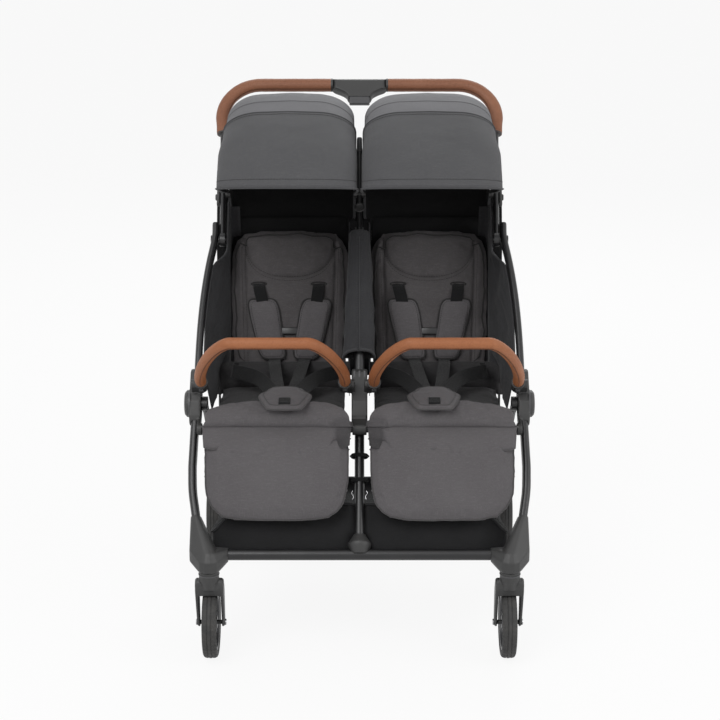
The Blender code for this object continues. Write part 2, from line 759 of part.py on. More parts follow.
def make_centre_foot():
    foot = turned(
        "centre_foot",
        [(0.0, 0.0150), (FOOT_TALL * 0.42, 0.0235), (FOOT_TALL * 0.56, 0.0235),
         (FOOT_TALL, 0.0120)],
        FOOT_BASE, black_plastic(), LEG_DIR, steps=20,
    )
    bar = bore("centre_foot_saddle", across(-0.05, CROSSBAR), across(0.05, CROSSBAR),
               CROSSBAR_R, FIT)
    cut(foot, bar)


def rear_leg_x(place):
    share = (HINGE_Z - place.z) / (HINGE_Z - REAR_AXLE.z)
    return REAR_LEG_X + (REAR_FOOT_X - REAR_LEG_X) * share


def make_rear_legs():
    section = rounded_section(REAR_W, REAR_D, square=2.6)
    down = (REAR_AXLE - HINGE).normalized()
    for name, side in SIDES.items():
        start, end = HINGE + down * 0.004, REAR_AXLE - down * 0.004
        path = [across(side * rear_leg_x(p), p) for p in (start, end)]
        leg = swept("rear_leg_" + name, path, section, X_AXIS, black_tube(), HINGE)
        eye = turned(
            "rear_eye_" + name, [(-REAR_W, 0.0150), (REAR_W, 0.0150)],
            across(side * REAR_LEG_X, HINGE), black_tube(), X_AXIS,
        )
        boot = turned(
            "rear_boot_" + name, [(-0.0085, 0.0175), (0.0085, 0.0175)],
            across(side * REAR_FOOT_X, REAR_AXLE), black_plastic(), X_AXIS,
        )
        link_pin = rod(
            "link_pin_" + name, across(side * (rear_leg_x(LINK_PIN) - 0.020), LINK_PIN),
            across(side * rear_leg_x(LINK_PIN), LINK_PIN), 0.0040, steel(),
        )
        join(leg, eye, boot, link_pin)
        pin_bore = bore("rear_eye_bore_" + name, across(side * 0.29, HINGE),
                        across(side * 0.36, HINGE), HINGE_PIN_R)
        axle_bore = bore("rear_axle_bore_" + name, across(side * 0.27, REAR_AXLE),
                         across(side * 0.35, REAR_AXLE), AXLE_R)
        cut(leg, pin_bore, axle_bore)


def make_rear_axle():
    shoulder = REAR_FOOT_X - 0.0085 - FIT
    tip = REAR_WHEEL_X + REAR_WHEEL_W / 2.0 + 0.002
    profile = [(-tip, AXLE_R), (-shoulder - 0.0001, AXLE_R), (-shoulder, REAR_TUBE_R),
               (shoulder, REAR_TUBE_R), (shoulder + 0.0001, AXLE_R), (tip, AXLE_R)]
    turned("rear_axle", profile, REAR_AXLE, black_tube(), X_AXIS, steps=20)


PEDAL_HALF = 0.034


def make_brake_pedal():
    ring = turned("brake_pedal", [(-PEDAL_HALF, 0.0165), (PEDAL_HALF, 0.0165)], REAR_AXLE,
                  grey_plastic(), X_AXIS, origin=REAR_AXLE)
    tread = box(
        "brake_tread", (-PEDAL_HALF, 0.008, 0.004), (PEDAL_HALF, 0.058, 0.013), grey_plastic(),
        0.003, Matrix.Translation(REAR_AXLE) @ Matrix.Rotation(math.radians(14), 4, "X"),
    )
    join(ring, tread)
    cut(ring, bore("brake_bore", across(-0.05, REAR_AXLE), across(0.05, REAR_AXLE), REAR_TUBE_R))


def wheel_disc(name, centre, radius, width, bore, material):
    """A dished wheel with a hub, a web and a rim, turned round its axle."""
    hub_r, web_half, rim_in = 0.0140, width * 0.18, radius - 0.0105
    half = width / 2.0
    profile = [
        (-half, bore), (-half, hub_r), (-web_half, hub_r + 0.004),
        (-web_half, rim_in - 0.004), (-half, rim_in), (-half, radius),
        (half, radius), (half, rim_in), (web_half, rim_in - 0.004),
        (web_half, hub_r + 0.004), (half, hub_r), (half, bore),
    ]
    return turned(name, profile, centre, material, X_AXIS, ring=True, flat_down=True)


def tyre(name, centre, radius, width, inner):
    """A tyre with a rounded tread, closed round its rim."""
    half = width / 2.0
    profile = [(-half + 0.002, inner)]
    for i in range(5):
        angle = math.pi * (i / 4.0)
        along = -half * math.cos(angle)
        rise = (radius - inner) * (0.62 + 0.38 * math.sin(angle))
        profile.append((along, inner + rise))
    profile.append((half - 0.002, inner))
    return turned(name, profile, centre, tyre_rubber(), X_AXIS, ring=True, flat_down=True)


def make_rear_wheels():
    for name, side in SIDES.items():
        centre = across(side * REAR_WHEEL_X, REAR_AXLE)
        half = REAR_WHEEL_W / 2.0
        rim = REAR_WHEEL_R - TYRE_THICK
        profile = [
            (-half + 0.003, AXLE_R + PIN_FIT), (-half + 0.003, 0.015),
            (-half * 0.3, 0.019), (-half * 0.3, rim - 0.010), (-half, rim),
            (-half, REAR_WHEEL_R - 0.005), (-half * 0.5, REAR_WHEEL_R),
            (half * 0.5, REAR_WHEEL_R), (half, REAR_WHEEL_R - 0.005),
            (half, rim), (half * 0.3, rim - 0.010), (half * 0.3, 0.019),
            (half - 0.003, 0.015), (half - 0.003, AXLE_R + PIN_FIT),
        ]
        turned("rear_wheel_" + name, profile, centre, tyre_rubber(), X_AXIS, ring=True,
               flat_down=True)


FORK_ARM = 0.0062
FORK_GAP = 0.0074


def make_casters():
    inner = FRONT_WHEEL_W / 2.0 + FORK_GAP
    outer = inner + FORK_ARM
    for name, side in SIDES.items():
        x = side * CASTER_X
        top = Vector((x, CASTER_Y, CASTER_TOP.z - FIT))
        axle = across(x, FRONT_AXLE)
        neck = turned(
            "caster_fork_" + name, [(0.0, 0.0205), (0.020, 0.0205), (0.030, 0.0180), (0.040, 0.015)],
            top, black_plastic(), Vector((0.0, 0.0, -1.0)), origin=top,
        )
        stem = rod("caster_stem_" + name, top + Vector((0.0, 0.0, STEM_TALL - 0.002)),
                   top - Vector((0.0, 0.0, 0.01)), STEM_R, steel())
        crown_z = FRONT_WHEEL_R * 2.0 + 0.004
        outline = hull_outline([
            (top.y + 0.002, top.z - 0.030, 0.0120),
            (top.y + 0.004, crown_z + 0.012, 0.0150),
            (axle.y - 0.006, crown_z - 0.004, 0.0130),
            (axle.y, axle.z, 0.0090),
        ])
        shell = plate("caster_shell_" + name, outline, x - outer, x + outer, black_plastic(), 0.003)
        room = turned(
            "caster_room_" + name,
            [(-inner, FRONT_WHEEL_R + 0.0045), (inner, FRONT_WHEEL_R + 0.0045)],
            axle, black_plastic(), X_AXIS,
        )
        cut(shell, room)
        below = box(
            "caster_below_" + name, (x - inner, axle.y - 0.08, axle.z - 0.08),
            (x + inner, axle.y + 0.08, axle.z), black_plastic(),
        )
        cut(shell, below)
        pin = rod("front_axle_" + name, axle - X_AXIS * (outer + 0.001),
                  axle + X_AXIS * (outer + 0.001), AXLE_R, steel())
        join(neck, stem, shell, pin)


def make_front_wheels():
    rim = FRONT_WHEEL_R - TYRE_THICK
    for name, side in SIDES.items():
        centre = across(side * CASTER_X, FRONT_AXLE)
        wheel_disc("front_wheel_" + name, centre, rim - FIT, FRONT_WHEEL_W - 0.004,
                   AXLE_R + PIN_FIT, grey_plastic())
        tyre("front_tyre_" + name, centre, FRONT_WHEEL_R, FRONT_WHEEL_W, rim)


def bumper_path(side):
    middle = side * (BUMPER_OUTER_X + BUMPER_INNER_X) / 2.0
    half = (BUMPER_OUTER_X - BUMPER_INNER_X) / 2.0
    base = BUMPER_SOCKET + BUMPER_DIR * (BUMPER_SOCKET_LONG + FIT)
    rise = BUMPER_REACH - BUMPER_CURVE_D
    flat = [(half, 0.0)]
    for i in range(9):
        angle = math.radians(90.0 * i / 8.0)
        a = half - BUMPER_CURVE_X * (1.0 - math.cos(angle) ** (2.0 / BUMPER_CURVE))
        flat.append((a, rise + BUMPER_CURVE_D * math.sin(angle) ** (2.0 / BUMPER_CURVE)))
    flat += [(-a, d) for a, d in flat[::-1]]
    return [across(middle + a, base + BUMPER_DIR * d) for a, d in flat]


def make_bumpers():
    section = rounded_section(BUMPER_R, BUMPER_R, 10)
    for name, side in SIDES.items():
        swept("bumper_bar_" + name, bumper_path(side), section, BUMPER_NORMAL,
              brown_leather(), across(side * BUMPER_OUTER_X, BUMPER_SOCKET))


def arm_x(distance):
    return ARM_KNEE_X + (HANDLE_X - ARM_KNEE_X) * distance / (GRIP - KNEE).length


def make_handle_arms():
    section = rounded_section(ARM_W, ARM_D, square=2.6)
    for name, side in SIDES.items():
        end = GRIP_FROM - 2.0 * FIT
        path = [across(side * arm_x(d), on_arm(d)) for d in (0.002, end)]
        arm = swept("handle_arm_" + name, path, section, X_AXIS, black_tube(), KNEE)
        eye = turned("arm_eye_" + name, [(-ARM_W, 0.0150), (ARM_W, 0.0150)],
                     across(side * ARM_KNEE_X, KNEE), black_tube(), X_AXIS)
        through = CANOPY_OUTER - CANOPY_NEST - CANOPY_SKIN - 0.0005
        stub = rod(
            "canopy_stub_" + name, across(side * through, CANOPY_PIN),
            across(side * arm_x(CANOPY_PIVOT), CANOPY_PIN), CANOPY_STUB_R, black_plastic(),
        )
        join(arm, eye, stub)
        cut(arm, bore("arm_bore_" + name, across(side * 0.27, KNEE), across(side * 0.32, KNEE),
                      HINGE_PIN_R))


def grip_path(side):
    reach = (GRIP - KNEE).length
    corner = reach - GRIP_CURVE
    places = [(arm_x(GRIP_FROM), GRIP_FROM)]
    for i in range(9):
        angle = math.radians(90.0 * i / 8.0)
        places.append((HANDLE_X - GRIP_CURVE + GRIP_CURVE * math.cos(angle),
                       corner + GRIP_CURVE * math.sin(angle)))
    places.append((HEAD_HALF + FIT, reach))
    return [across(side * x, on_arm(d)) for x, d in places]


def make_grips():
    section = rounded_section(GRIP_R, GRIP_R, 12)
    for name, side in SIDES.items():
        swept("handle_grip_" + name, grip_path(side), section, ARM_NORMAL, brown_leather(), KNEE)


def handle_plane(rise=0.0):
    """Turns x, distance along the arm and height off the arm's plane into places."""
    top = GRIP + ARM_NORMAL * rise
    basis = Matrix((
        (1.0, 0.0, 0.0),
        (0.0, ARM_DIR.y, ARM_NORMAL.y),
        (0.0, ARM_DIR.z, ARM_NORMAL.z),
    )).to_4x4()
    return Matrix.Translation(top) @ basis


TRIGGER_RISE = 0.0070
TRIGGER_TUCK = 0.0080   # how much of the trigger stands in the housing's pocket


def make_handle_head():
    half = HEAD_THICK / 2.0
    outline = []
    steps = 5
    for i in range(steps + 1):
        share = i / steps
        width = HEAD_WAIST + (HEAD_HALF - HEAD_WAIST) * share ** 2.2
        outline.append((width, -HEAD_DOWN + (HEAD_DOWN - HEAD_UP) * share * 0.9))
    outline.append((HEAD_HALF, HEAD_UP))
    full = outline + [(-x, d) for x, d in outline[::-1]]
    mesh_builder = bmesh.new()
    rings = []
    for share, inset in ((-1.0, 0.0080), (-0.85, 0.0042), (-0.45, 0.0), (0.45, 0.0),
                         (0.85, 0.0042), (1.0, 0.0080)):
        narrow = 1.0 - inset / HEAD_HALF
        rings.append([
            Vector((x * narrow, min(d, HEAD_UP - inset), half * share)) for x, d in full
        ])
    add_rings(mesh_builder, rings)
    mesh_builder.transform(handle_plane())
    head = add_object("handle_housing", mesh_builder, black_plastic(), GRIP)
    pocket = box(
        "trigger_pocket",
        (-HEAD_WAIST + 0.004 - FIT, -HEAD_DOWN - 0.01, -TRIGGER_THICK / 2.0 - FIT),
        (HEAD_WAIST - 0.004 + FIT, -HEAD_DOWN + TRIGGER_TUCK + TRIGGER_TRAVEL + FIT,
         TRIGGER_THICK / 2.0 + FIT),
        black_plastic(), 0.0, handle_plane(TRIGGER_RISE),
    )
    cut(head, pocket)


def make_trigger():
    width = HEAD_WAIST - 0.004
    box(
        "fold_trigger",
        (-width, -HEAD_DOWN - TRIGGER_TALL - TRIGGER_TRAVEL * 0.2, -TRIGGER_THICK / 2.0),
        (width, -HEAD_DOWN + TRIGGER_TUCK, TRIGGER_THICK / 2.0),
        grey_plastic(), 0.002, handle_plane(TRIGGER_RISE), GRIP,
    )


def make_post():
    section = rounded_section(POST_W, POST_D, 12, square=3.0)
    post = swept("centre_post", [on_arm(0.003), on_arm(POST_LONG)], section, X_AXIS,
                 black_tube(), KNEE)
    eye = turned("post_eye", [(-POST_W, CLEVIS_R - 0.001), (POST_W, CLEVIS_R - 0.001)], KNEE,
                 black_tube(), X_AXIS)
    reach = CANOPY_INNER + CANOPY_NEST + CANOPY_SKIN + 0.0005
    stub = rod("post_canopy_stub", across(-reach, CANOPY_PIN), across(reach, CANOPY_PIN),
               CANOPY_STUB_R, black_plastic())
    join(post, eye, stub)
    cut(post, bore("post_bore", across(-0.03, KNEE), across(0.03, KNEE), HINGE_PIN_R))


def canopy_radius(degrees):
    """Distance of the canopy's outside from its pivot, in the side view."""
    if degrees < CANOPY_BACK_ANGLE:
        angle = math.radians(degrees)
        back = math.radians(CANOPY_BACK_ANGLE)
        chord = CANOPY_CROWN * (math.cos(back) - CANOPY_TAIL_SLOPE * math.sin(back))
        return chord / (math.cos(angle) - CANOPY_TAIL_SLOPE * math.sin(angle))
    if degrees < 90.0:
        return CANOPY_CROWN
    share = (degrees - 90.0) / (CANOPY_HEM_ANGLE - 90.0)
    return CANOPY_CROWN + (CANOPY_BRIM - CANOPY_CROWN) * share ** 2.47


def eased(share):
    share = min(1.0, max(0.0, share))
    return share * share * (3.0 - 2.0 * share)


def brim_wider(degrees, radius):
    """How far a canopy's side stands out from its plane, near the front edge only."""
    turn = eased((degrees - BRIM_FROM) / (BRIM_FULL - BRIM_FROM))
    return turn * eased((radius - 0.050) / 0.060)


def canopy_row(degrees, nest):
    """Points across a canopy's cloth at one angle, from its outer pivot to its inner one."""
    inner, outer = CANOPY_INNER + nest, CANOPY_OUTER - nest
    radius = canopy_radius(degrees) - nest
    corner_r = min(CANOPY_CORNER_R, radius * 0.45)
    corner_x = CANOPY_CORNER_X
    half = [(outer, CANOPY_EYE), (outer, (CANOPY_EYE + radius - corner_r) / 2.0)]
    for k in range(5):
        angle = math.radians(90.0 * k / 4.0)
        half.append((outer - corner_x + corner_x * math.cos(angle),
                     radius - corner_r + corner_r * math.sin(angle)))
    row = half + [((inner + outer) / 2.0, radius + 0.002)]
    row += [(inner + outer - x, r) for x, r in half[::-1]]
    middle = (inner + outer) / 2.0
    wide = []
    for x, r in row:
        side = (x - middle) / (outer - middle)
        reach = BRIM_WIDER if side > 0.0 else BRIM_WIDER * 0.65
        wide.append((x + reach * side * brim_wider(degrees, r), r))
    return wide


def canopy_shell(name, side, first, last, steps, nest):
    """One cloth shell of a canopy, between two angles about its pivot."""
    mesh_builder = bmesh.new()
    rows = []
    for i in range(steps + 1):
        degrees = first + (last - first) * i / steps
        ray = direction(degrees)
        rows.append([
            mesh_builder.verts.new(across(side * x, CANOPY_PIN + ray * r))
            for x, r in canopy_row(degrees, nest)
        ])
    for a, b in zip(rows, rows[1:]):
        for k in range(len(a) - 1):
            mesh_builder.faces.new((a[k], a[k + 1], b[k + 1], b[k]))
    bmesh.ops.recalc_face_normals(mesh_builder, faces=mesh_builder.faces)
    bmesh.ops.translate(mesh_builder, verts=mesh_builder.verts, vec=-CANOPY_PIN)
    outermost = max(mesh_builder.faces, key=lambda f: f.calc_center_median().yz.length)
    if outermost.normal.yz.dot(outermost.calc_center_median().yz) < 0.0:
        bmesh.ops.reverse_faces(mesh_builder, faces=mesh_builder.faces)
    return thick_sheet(name, mesh_builder, canopy_cloth(), CANOPY_SKIN, CANOPY_PIN)


def thick_sheet(name, mesh_builder, material, thickness, place=(0.0, 0.0, 0.0)):
    """A closed solid of this thickness behind an open sheet."""
    mesh = bpy.data.meshes.new(name)
    mesh_builder.to_mesh(mesh)
    mesh_builder.free()
    mesh.shade_smooth()
    mesh.materials.append(material)
    made = bpy.data.objects.new(name, mesh)
    made.location = place
    bpy.context.collection.objects.link(made)
    skin = made.modifiers.new("skin", "SOLIDIFY")
    skin.thickness = thickness
    skin.offset = -1.0
    skin.use_rim = True
    return made


def make_canopies():
    for name, side in SIDES.items():
        canopy_shell("canopy_front_" + name, side, CANOPY_SEAM_ANGLE, CANOPY_HEM_ANGLE, 6, 0.0)
        canopy_shell("canopy_rear_" + name, side, CANOPY_TAIL_ANGLE,
                     CANOPY_SEAM_ANGLE + CANOPY_OVERLAP, 12, CANOPY_NEST)


def pad(name, origin, along, out, low_x, high_x, length, thick, depth_at, width_at,
        across_steps, along_steps, material, begin=0.0):
    """A cushion on a plane: its outer face is shaped by depth_at(s, t) and its outline by
    width_at(t). s runs from -1 to 1 across and t from 0 to 1 along it."""
    middle = (low_x + high_x) / 2.0
    half = abs(high_x - low_x) / 2.0
    rings = []
    for i in range(along_steps + 1):
        even = i / along_steps
        t = even - 0.085 * math.sin(2.0 * math.pi * even)
        ring = []
        width = half * width_at(t)
        place = origin + along * (begin + length * t)
        for k in range(across_steps + 1):
            s = -math.cos(math.pi * k / across_steps)
            ring.append(across(middle + s * width, place + out * depth_at(s, t)))
        for k in range(5):
            s = 1.0 - 2.0 * (k + 0.5) / 5.0
            edge = (1.0 - abs(s) ** 4) * end_swell(t)
            back = -thick * (0.50 + 0.50 * edge)
            ring.append(across(middle + s * width * 0.96, place + out * back))
        rings.append(ring)
    mesh_builder = bmesh.new()
    add_rings(mesh_builder, rings)
    return add_object(name, mesh_builder, material, origin)


def end_swell(t, power=3.0):
    """How far a cushion has swollen at t, from its thin ends to 1 between them."""
    edge = abs(2.0 * t - 1.0)
    return max(0.01, 1.0 - edge ** power) ** 0.5


def crown(s, t, thick, rise):
    """Height of a cushion's face over its plane: full in the middle, drawn in at its edges."""
    swell = max(0.0, 1.0 - abs(s) ** 3.0) ** 0.5 * end_swell(t)
    return -thick * 0.5 + (thick * 0.5 + rise) * swell


def groove(distance, width, depth):
    """A sewn channel's dip at this distance from its seam."""
    return -depth * math.exp(-((distance / width) ** 2))


def back_depth(s, t):
    """The backrest's face: a curved head panel above two side channels."""
    height = crown(s, t, BACK_THICK, 0.0015)
    head_seam = 0.66 + 0.27 * min(1.0, abs(s) / 0.782) ** 2.6
    inside = 1.0 if abs(s) < 0.80 else 0.0
    height += groove(t - head_seam, 0.030, 0.0055) * inside
    if 0.06 < t < 0.95:
        height += groove(abs(s) - 0.782, 0.070, 0.0050)
    return height


def corner_width(t, rounding):
    """Share of the full width at t, with rounded ends."""
    edge = max(0.0, (abs(2.0 * t - 1.0) - (1.0 - rounding)) / rounding)
    return 1.0 - rounding * 0.55 * (1.0 - math.sqrt(max(0.0, 1.0 - edge ** 2)))


def calf_depth(s, t):
    """The leg rest's face, with one sewn crease near its top."""
    return crown(s, t, CALF_THICK, 0.0) + groove(t - 0.10, 0.050, 0.0035)


def calf_width(t):
    """Share of the leg rest's full width at t: its lower corners are widely rounded."""
    corner = max(0.0, (t - CALF_STRAIGHT) / (1.0 - CALF_STRAIGHT))
    round_off = CALF_CORNER * (1.0 - math.sqrt(max(0.0, 1.0 - corner ** 2.2)))
    return 1.0 - 0.035 * t - round_off


def back_width(t):
    """Share of the backrest's full width at t: narrower at its foot, rounded at its top."""
    return corner_width(t, 0.22) if t > 0.5 else 1.0 - 0.06 * (1.0 - 2.0 * t)


def make_backrests():
    along, out = direction(BACK_ANGLE), direction(BACK_ANGLE + 90.0)
    for name, side in SIDES.items():
        rest = pad(
            "backrest_" + name, BACK_PIN, along, out, side * BACK_INNER, side * BACK_OUTER,
            BACK_LONG, BACK_THICK, back_depth, back_width, 12, 20, back_cloth(),
            BACK_TUBE_R + FIT + 0.001,
        )
        inside = BACK_PIN + along * HEM_MARGIN - out * (BACK_THICK * 0.42)
        hem = plate(
            "backrest_hem_" + name,
            hull_outline([(BACK_PIN_Y, BACK_PIN_Z, HEM_R), (inside.y, inside.z, HEM_R * 0.8)]),
            side * (BACK_INNER + HEM_MARGIN), side * (BACK_OUTER - HEM_MARGIN), back_cloth(),
        )
        join(rest, hem)
        cut(rest, bore("backrest_bore_" + name, across(0.0, BACK_PIN),
                       across(side * HINGE_X, BACK_PIN), BACK_TUBE_R))


def make_leg_rests():
    along, out = direction(CALF_ANGLE), direction(CALF_ANGLE - 90.0)
    for name, side in SIDES.items():
        pad("leg_rest_" + name, CALF_PIN, along, out, side * CALF_INNER, side * CALF_OUTER,
            CALF_LONG, CALF_THICK, calf_depth,
            calf_width, 12, 13, seat_cloth(), 0.0008)


def seat_outline(share):
    """The seat cushion's side view; share is 1 in its middle and less towards its sides."""
    rise = SEAT_DROP * (share - 1.0)
    top = [(-0.2150, 0.4645), (-0.2140, 0.4790 + rise), (-0.2030, 0.4930 + rise * 1.5),
           (-0.1850, 0.4990 + rise * 1.8), (-0.1620, 0.4950 + rise * 1.6),
           (-0.1250, 0.4800 + rise), (-0.0600, 0.4700 + rise * 0.6),
           (0.0100, 0.4630 + rise * 0.5), (0.0560, 0.4590 + rise * 0.3), (0.0735, 0.4510)]
    bottom = [(0.0735, 0.4360), (0.0560, 0.4260), (-0.0600, 0.4230), (-0.1560, 0.4215),
              (-0.1780, 0.4230), (-0.1845, 0.4310), (-0.1860, 0.4455), (-0.2005, 0.4517),
              (-0.2045, 0.4541)]
    return top + bottom


def bolster_wider(y, s):
    """How much wider the cushion is in front of the main hinge than behind it."""
    outer = 0.0185 * min(1.0, max(0.0, (-0.125 - y) / 0.035))
    inner = 0.0100 * min(1.0, max(0.0, (-0.180 - y) / 0.015))
    return outer if s > 0.0 else inner


def make_seat_bases():
    steps = 12
    for name, side in SIDES.items():
        middle, half = (SEAT_INNER + SEAT_OUTER) / 2.0, (SEAT_OUTER - SEAT_INNER) / 2.0
        rings = []
        for i in range(steps + 1):
            s = -math.cos(math.pi * i / steps)
            share = max(0.0, 1.0 - abs(s) ** 3) ** 0.5
            rings.append([
                Vector((side * (middle + s * (half + bolster_wider(y, s))), y, z))
                for y, z in seat_outline(share)
            ])
        mesh_builder = bmesh.new()
        add_rings(mesh_builder, rings)
        base = add_object("seat_base_" + name, mesh_builder, seat_cloth(), SEAT_PIN)
        channel = bore("seat_bore_" + name, across(side * 0.01, SEAT_PIN),
                       across(side * 0.32, SEAT_PIN), SEAT_TUBE_R)
        cradle = bore("seat_cradle_" + name, across(side * 0.01, BACK_PIN),
                      across(side * 0.32, BACK_PIN), HEM_R)
        cut(base, channel, cradle)


LINK_EYE = 0.0170       # open pivot's bore: wide enough for the seat's own arc


LUG_LONG, LUG_HALF, LUG_R = 0.058, 0.0095, 0.0062   # strap lug between the two seats
LUG_SLOT_HALF, LUG_SLOT_DEEP = 0.0062, 0.0022       # halves of its hole for webbing


def make_rear_seat_tube():
    """The tube with its strap lug, which points forward between the seats."""
    reach = SEAT_OUTER + 0.010
    tube = rod("rear_seat_tube", across(-reach, BACK_PIN), across(reach, BACK_PIN),
               BACK_TUBE_R, black_tube())
    end_y = BACK_PIN_Y - LUG_LONG
    lug = plate(
        "strap_lug", hull_outline([(BACK_PIN_Y, BACK_PIN_Z, LUG_R), (end_y, BACK_PIN_Z, LUG_R)]),
        -LUG_HALF, LUG_HALF, black_tube(), 0.0, BACK_PIN,
    )
    join(tube, lug)
    through = Vector((0.0, 0.0, 2.0 * LUG_R))
    middle = Vector((0.0, end_y, BACK_PIN_Z))
    cut(tube, swept("lug_slot", [middle - through, middle + through],
                    rounded_section(LUG_SLOT_HALF, LUG_SLOT_DEEP, 12, square=3.0),
                    X_AXIS, black_tube()))


def make_seat_links():
    up = (BACK_PIN - LINK_PIN).normalized()
    for name, side in SIDES.items():
        x = side * (SEAT_OUTER + 0.0025 + LINK_W)
        bar = plate(
            "seat_link_" + name,
            hull_outline([(LINK_PIN.y, LINK_PIN.z, 0.0100)]), x - LINK_W, x + LINK_W,
            black_tube(), 0.0, LINK_PIN,
        )
        low, high = LINK_PIN, BACK_PIN - up * (LINK_EYE + 0.0015)
        shaft = swept("link_shaft_" + name, [across(x, low), across(x, high)],
                      rounded_section(LINK_W, LINK_D, 12, square=3.0), X_AXIS, black_tube())
        ring = turned("link_ring_" + name, [(-LINK_W, LINK_EYE + 0.0035), (LINK_W, LINK_EYE + 0.0035)],
                      across(x, BACK_PIN), black_tube(), X_AXIS)
        join(bar, shaft, ring)
        eye = rod("link_eye_" + name, across(x - 0.01, BACK_PIN), across(x + 0.01, BACK_PIN),
                  LINK_EYE, black_tube(), sides=20)
        foot = bore("link_foot_" + name, across(x - 0.01, LINK_PIN), across(x + 0.01, LINK_PIN),
                    0.0040)
        cut(bar, eye, foot)


PAD_LOW, PAD_HIGH = 0.054, 0.186       # shoulder pads, up the backrest from its pin
PAD_LOW_X, PAD_HIGH_X = 0.0345, 0.0610  # their middles, from the seat's middle
PAD_LOW_HALF, PAD_HIGH_HALF = 0.0290, 0.0340
PAD_RISE, PAD_THICK = 0.0017, 0.0130
STRAP_TOP, STRAP_HALF, STRAP_THICK = 0.226, 0.0135, 0.0030


def back_plane():
    """Turns x, distance up the backrest and height off its face into places."""
    along, out = direction(BACK_ANGLE), direction(BACK_ANGLE + 90.0)
    basis = Matrix(((1.0, 0.0, 0.0), (0.0, along.y, out.y), (0.0, along.z, out.z))).to_4x4()
    return Matrix.Translation(BACK_PIN) @ basis


def shoulder_pad(name, middle, s):
    """One shoulder pad: a tapered cushion that leans in towards the buckle."""
    rings = []
    for n, grow in ((0.0, 0.88), (0.3, 1.0), (0.75, 1.0), (1.0, 0.84)):
        half_long = (PAD_HIGH - PAD_LOW) / 2.0 * (1.0 - (1.0 - grow) * 0.45)
        centre_d = (PAD_HIGH + PAD_LOW) / 2.0
        ring = []
        for a, b in rounded_section(1.0, 1.0, 14, square=3.6):
            share = (b + 1.0) / 2.0
            width = (PAD_LOW_HALF + (PAD_HIGH_HALF - PAD_LOW_HALF) * share) * grow
            centre_x = s * (PAD_LOW_X + (PAD_HIGH_X - PAD_LOW_X) * share)
            ring.append(Vector((middle + centre_x + a * width, centre_d + b * half_long,
                                PAD_RISE + PAD_THICK * n)))
        rings.append(ring)
    mesh_builder = bmesh.new()
    add_rings(mesh_builder, rings)
    mesh_builder.transform(back_plane())
    return add_object(name, mesh_builder, back_cloth())


def make_harnesses():
    turn = back_plane()
    for name, side in SIDES.items():
        middle = side * (BACK_INNER + BACK_OUTER) / 2.0
        pieces = [shoulder_pad("shoulder_pad_%s_%d" % (name, i), middle, s)
                  for i, s in enumerate((-1.0, 1.0))]
        for i, s in enumerate((-1.0, 1.0)):
            x = middle + s * (PAD_HIGH_X - 0.004)
            pieces.append(box(
                "shoulder_strap_%s_%d" % (name, i),
                (x - STRAP_HALF, PAD_HIGH - 0.030, PAD_RISE + 0.0010),
                (x + STRAP_HALF, STRAP_TOP, PAD_RISE + 0.0010 + STRAP_THICK),
                dark_cloth(), 0.0, turn,
            ))
        bridge = box("shoulder_harness_" + name,
                     (middle - 0.018, PAD_LOW + 0.052, PAD_RISE + 0.003),
                     (middle + 0.018, PAD_LOW + 0.070, PAD_RISE + PAD_THICK - 0.003),
                     dark_cloth(), 0.0, turn, BACK_PIN)
        join(bridge, *pieces)


CROTCH_Y, CROTCH_Z, CROTCH_TILT = -0.1720, 0.5079, 8.0
CROTCH_LONG, CROTCH_HALF = 0.0890, 0.0520
CROTCH_STRAP_Y, CROTCH_FOOT_Z = -0.1500, 0.4913
CROTCH_SHAPE = ((0.65, -0.48), (0.92, -0.17), (1.0, 0.08), (0.77, 0.25), (0.58, 0.45), (0.23, 0.52))


def make_crotch_pads():
    """The buckle's cover, with the strap that holds it to the seat."""
    half = [(a * CROTCH_HALF, b * CROTCH_LONG) for a, b in CROTCH_SHAPE]
    outline = half + [(-x, d) for x, d in half[::-1]]
    levels = ((-0.0060, 0.88), (-0.0020, 1.0), (0.0030, 1.0), (0.0075, 0.84))
    for name, side in SIDES.items():
        middle = side * (BACK_INNER + BACK_OUTER) / 2.0
        turn = Matrix.Translation(Vector((middle, CROTCH_Y, CROTCH_Z))) @ Matrix.Rotation(
            math.radians(CROTCH_TILT), 4, "X")
        rings = [[turn @ Vector((x * grow, d * grow, n)) for x, d in outline]
                 for n, grow in levels]
        mesh_builder = bmesh.new()
        add_rings(mesh_builder, rings)
        pad_made = add_object("crotch_pad_" + name, mesh_builder, seat_cloth(), SEAT_PIN)
        strap = box("crotch_strap_" + name,
                    (middle - STRAP_HALF, CROTCH_STRAP_Y - 0.0020, CROTCH_FOOT_Z),
                    (middle + STRAP_HALF, CROTCH_STRAP_Y + 0.0020, CROTCH_Z), dark_cloth())
        join(pad_made, strap)


BASKET_HALF, BASKET_FRONT_HALF = 0.2930, 0.3000    # inside the folding links, and beside the hubs
BASKET_CORNER, BASKET_SHOULDER = 0.030, 0.110      # where its front corner and its side begin


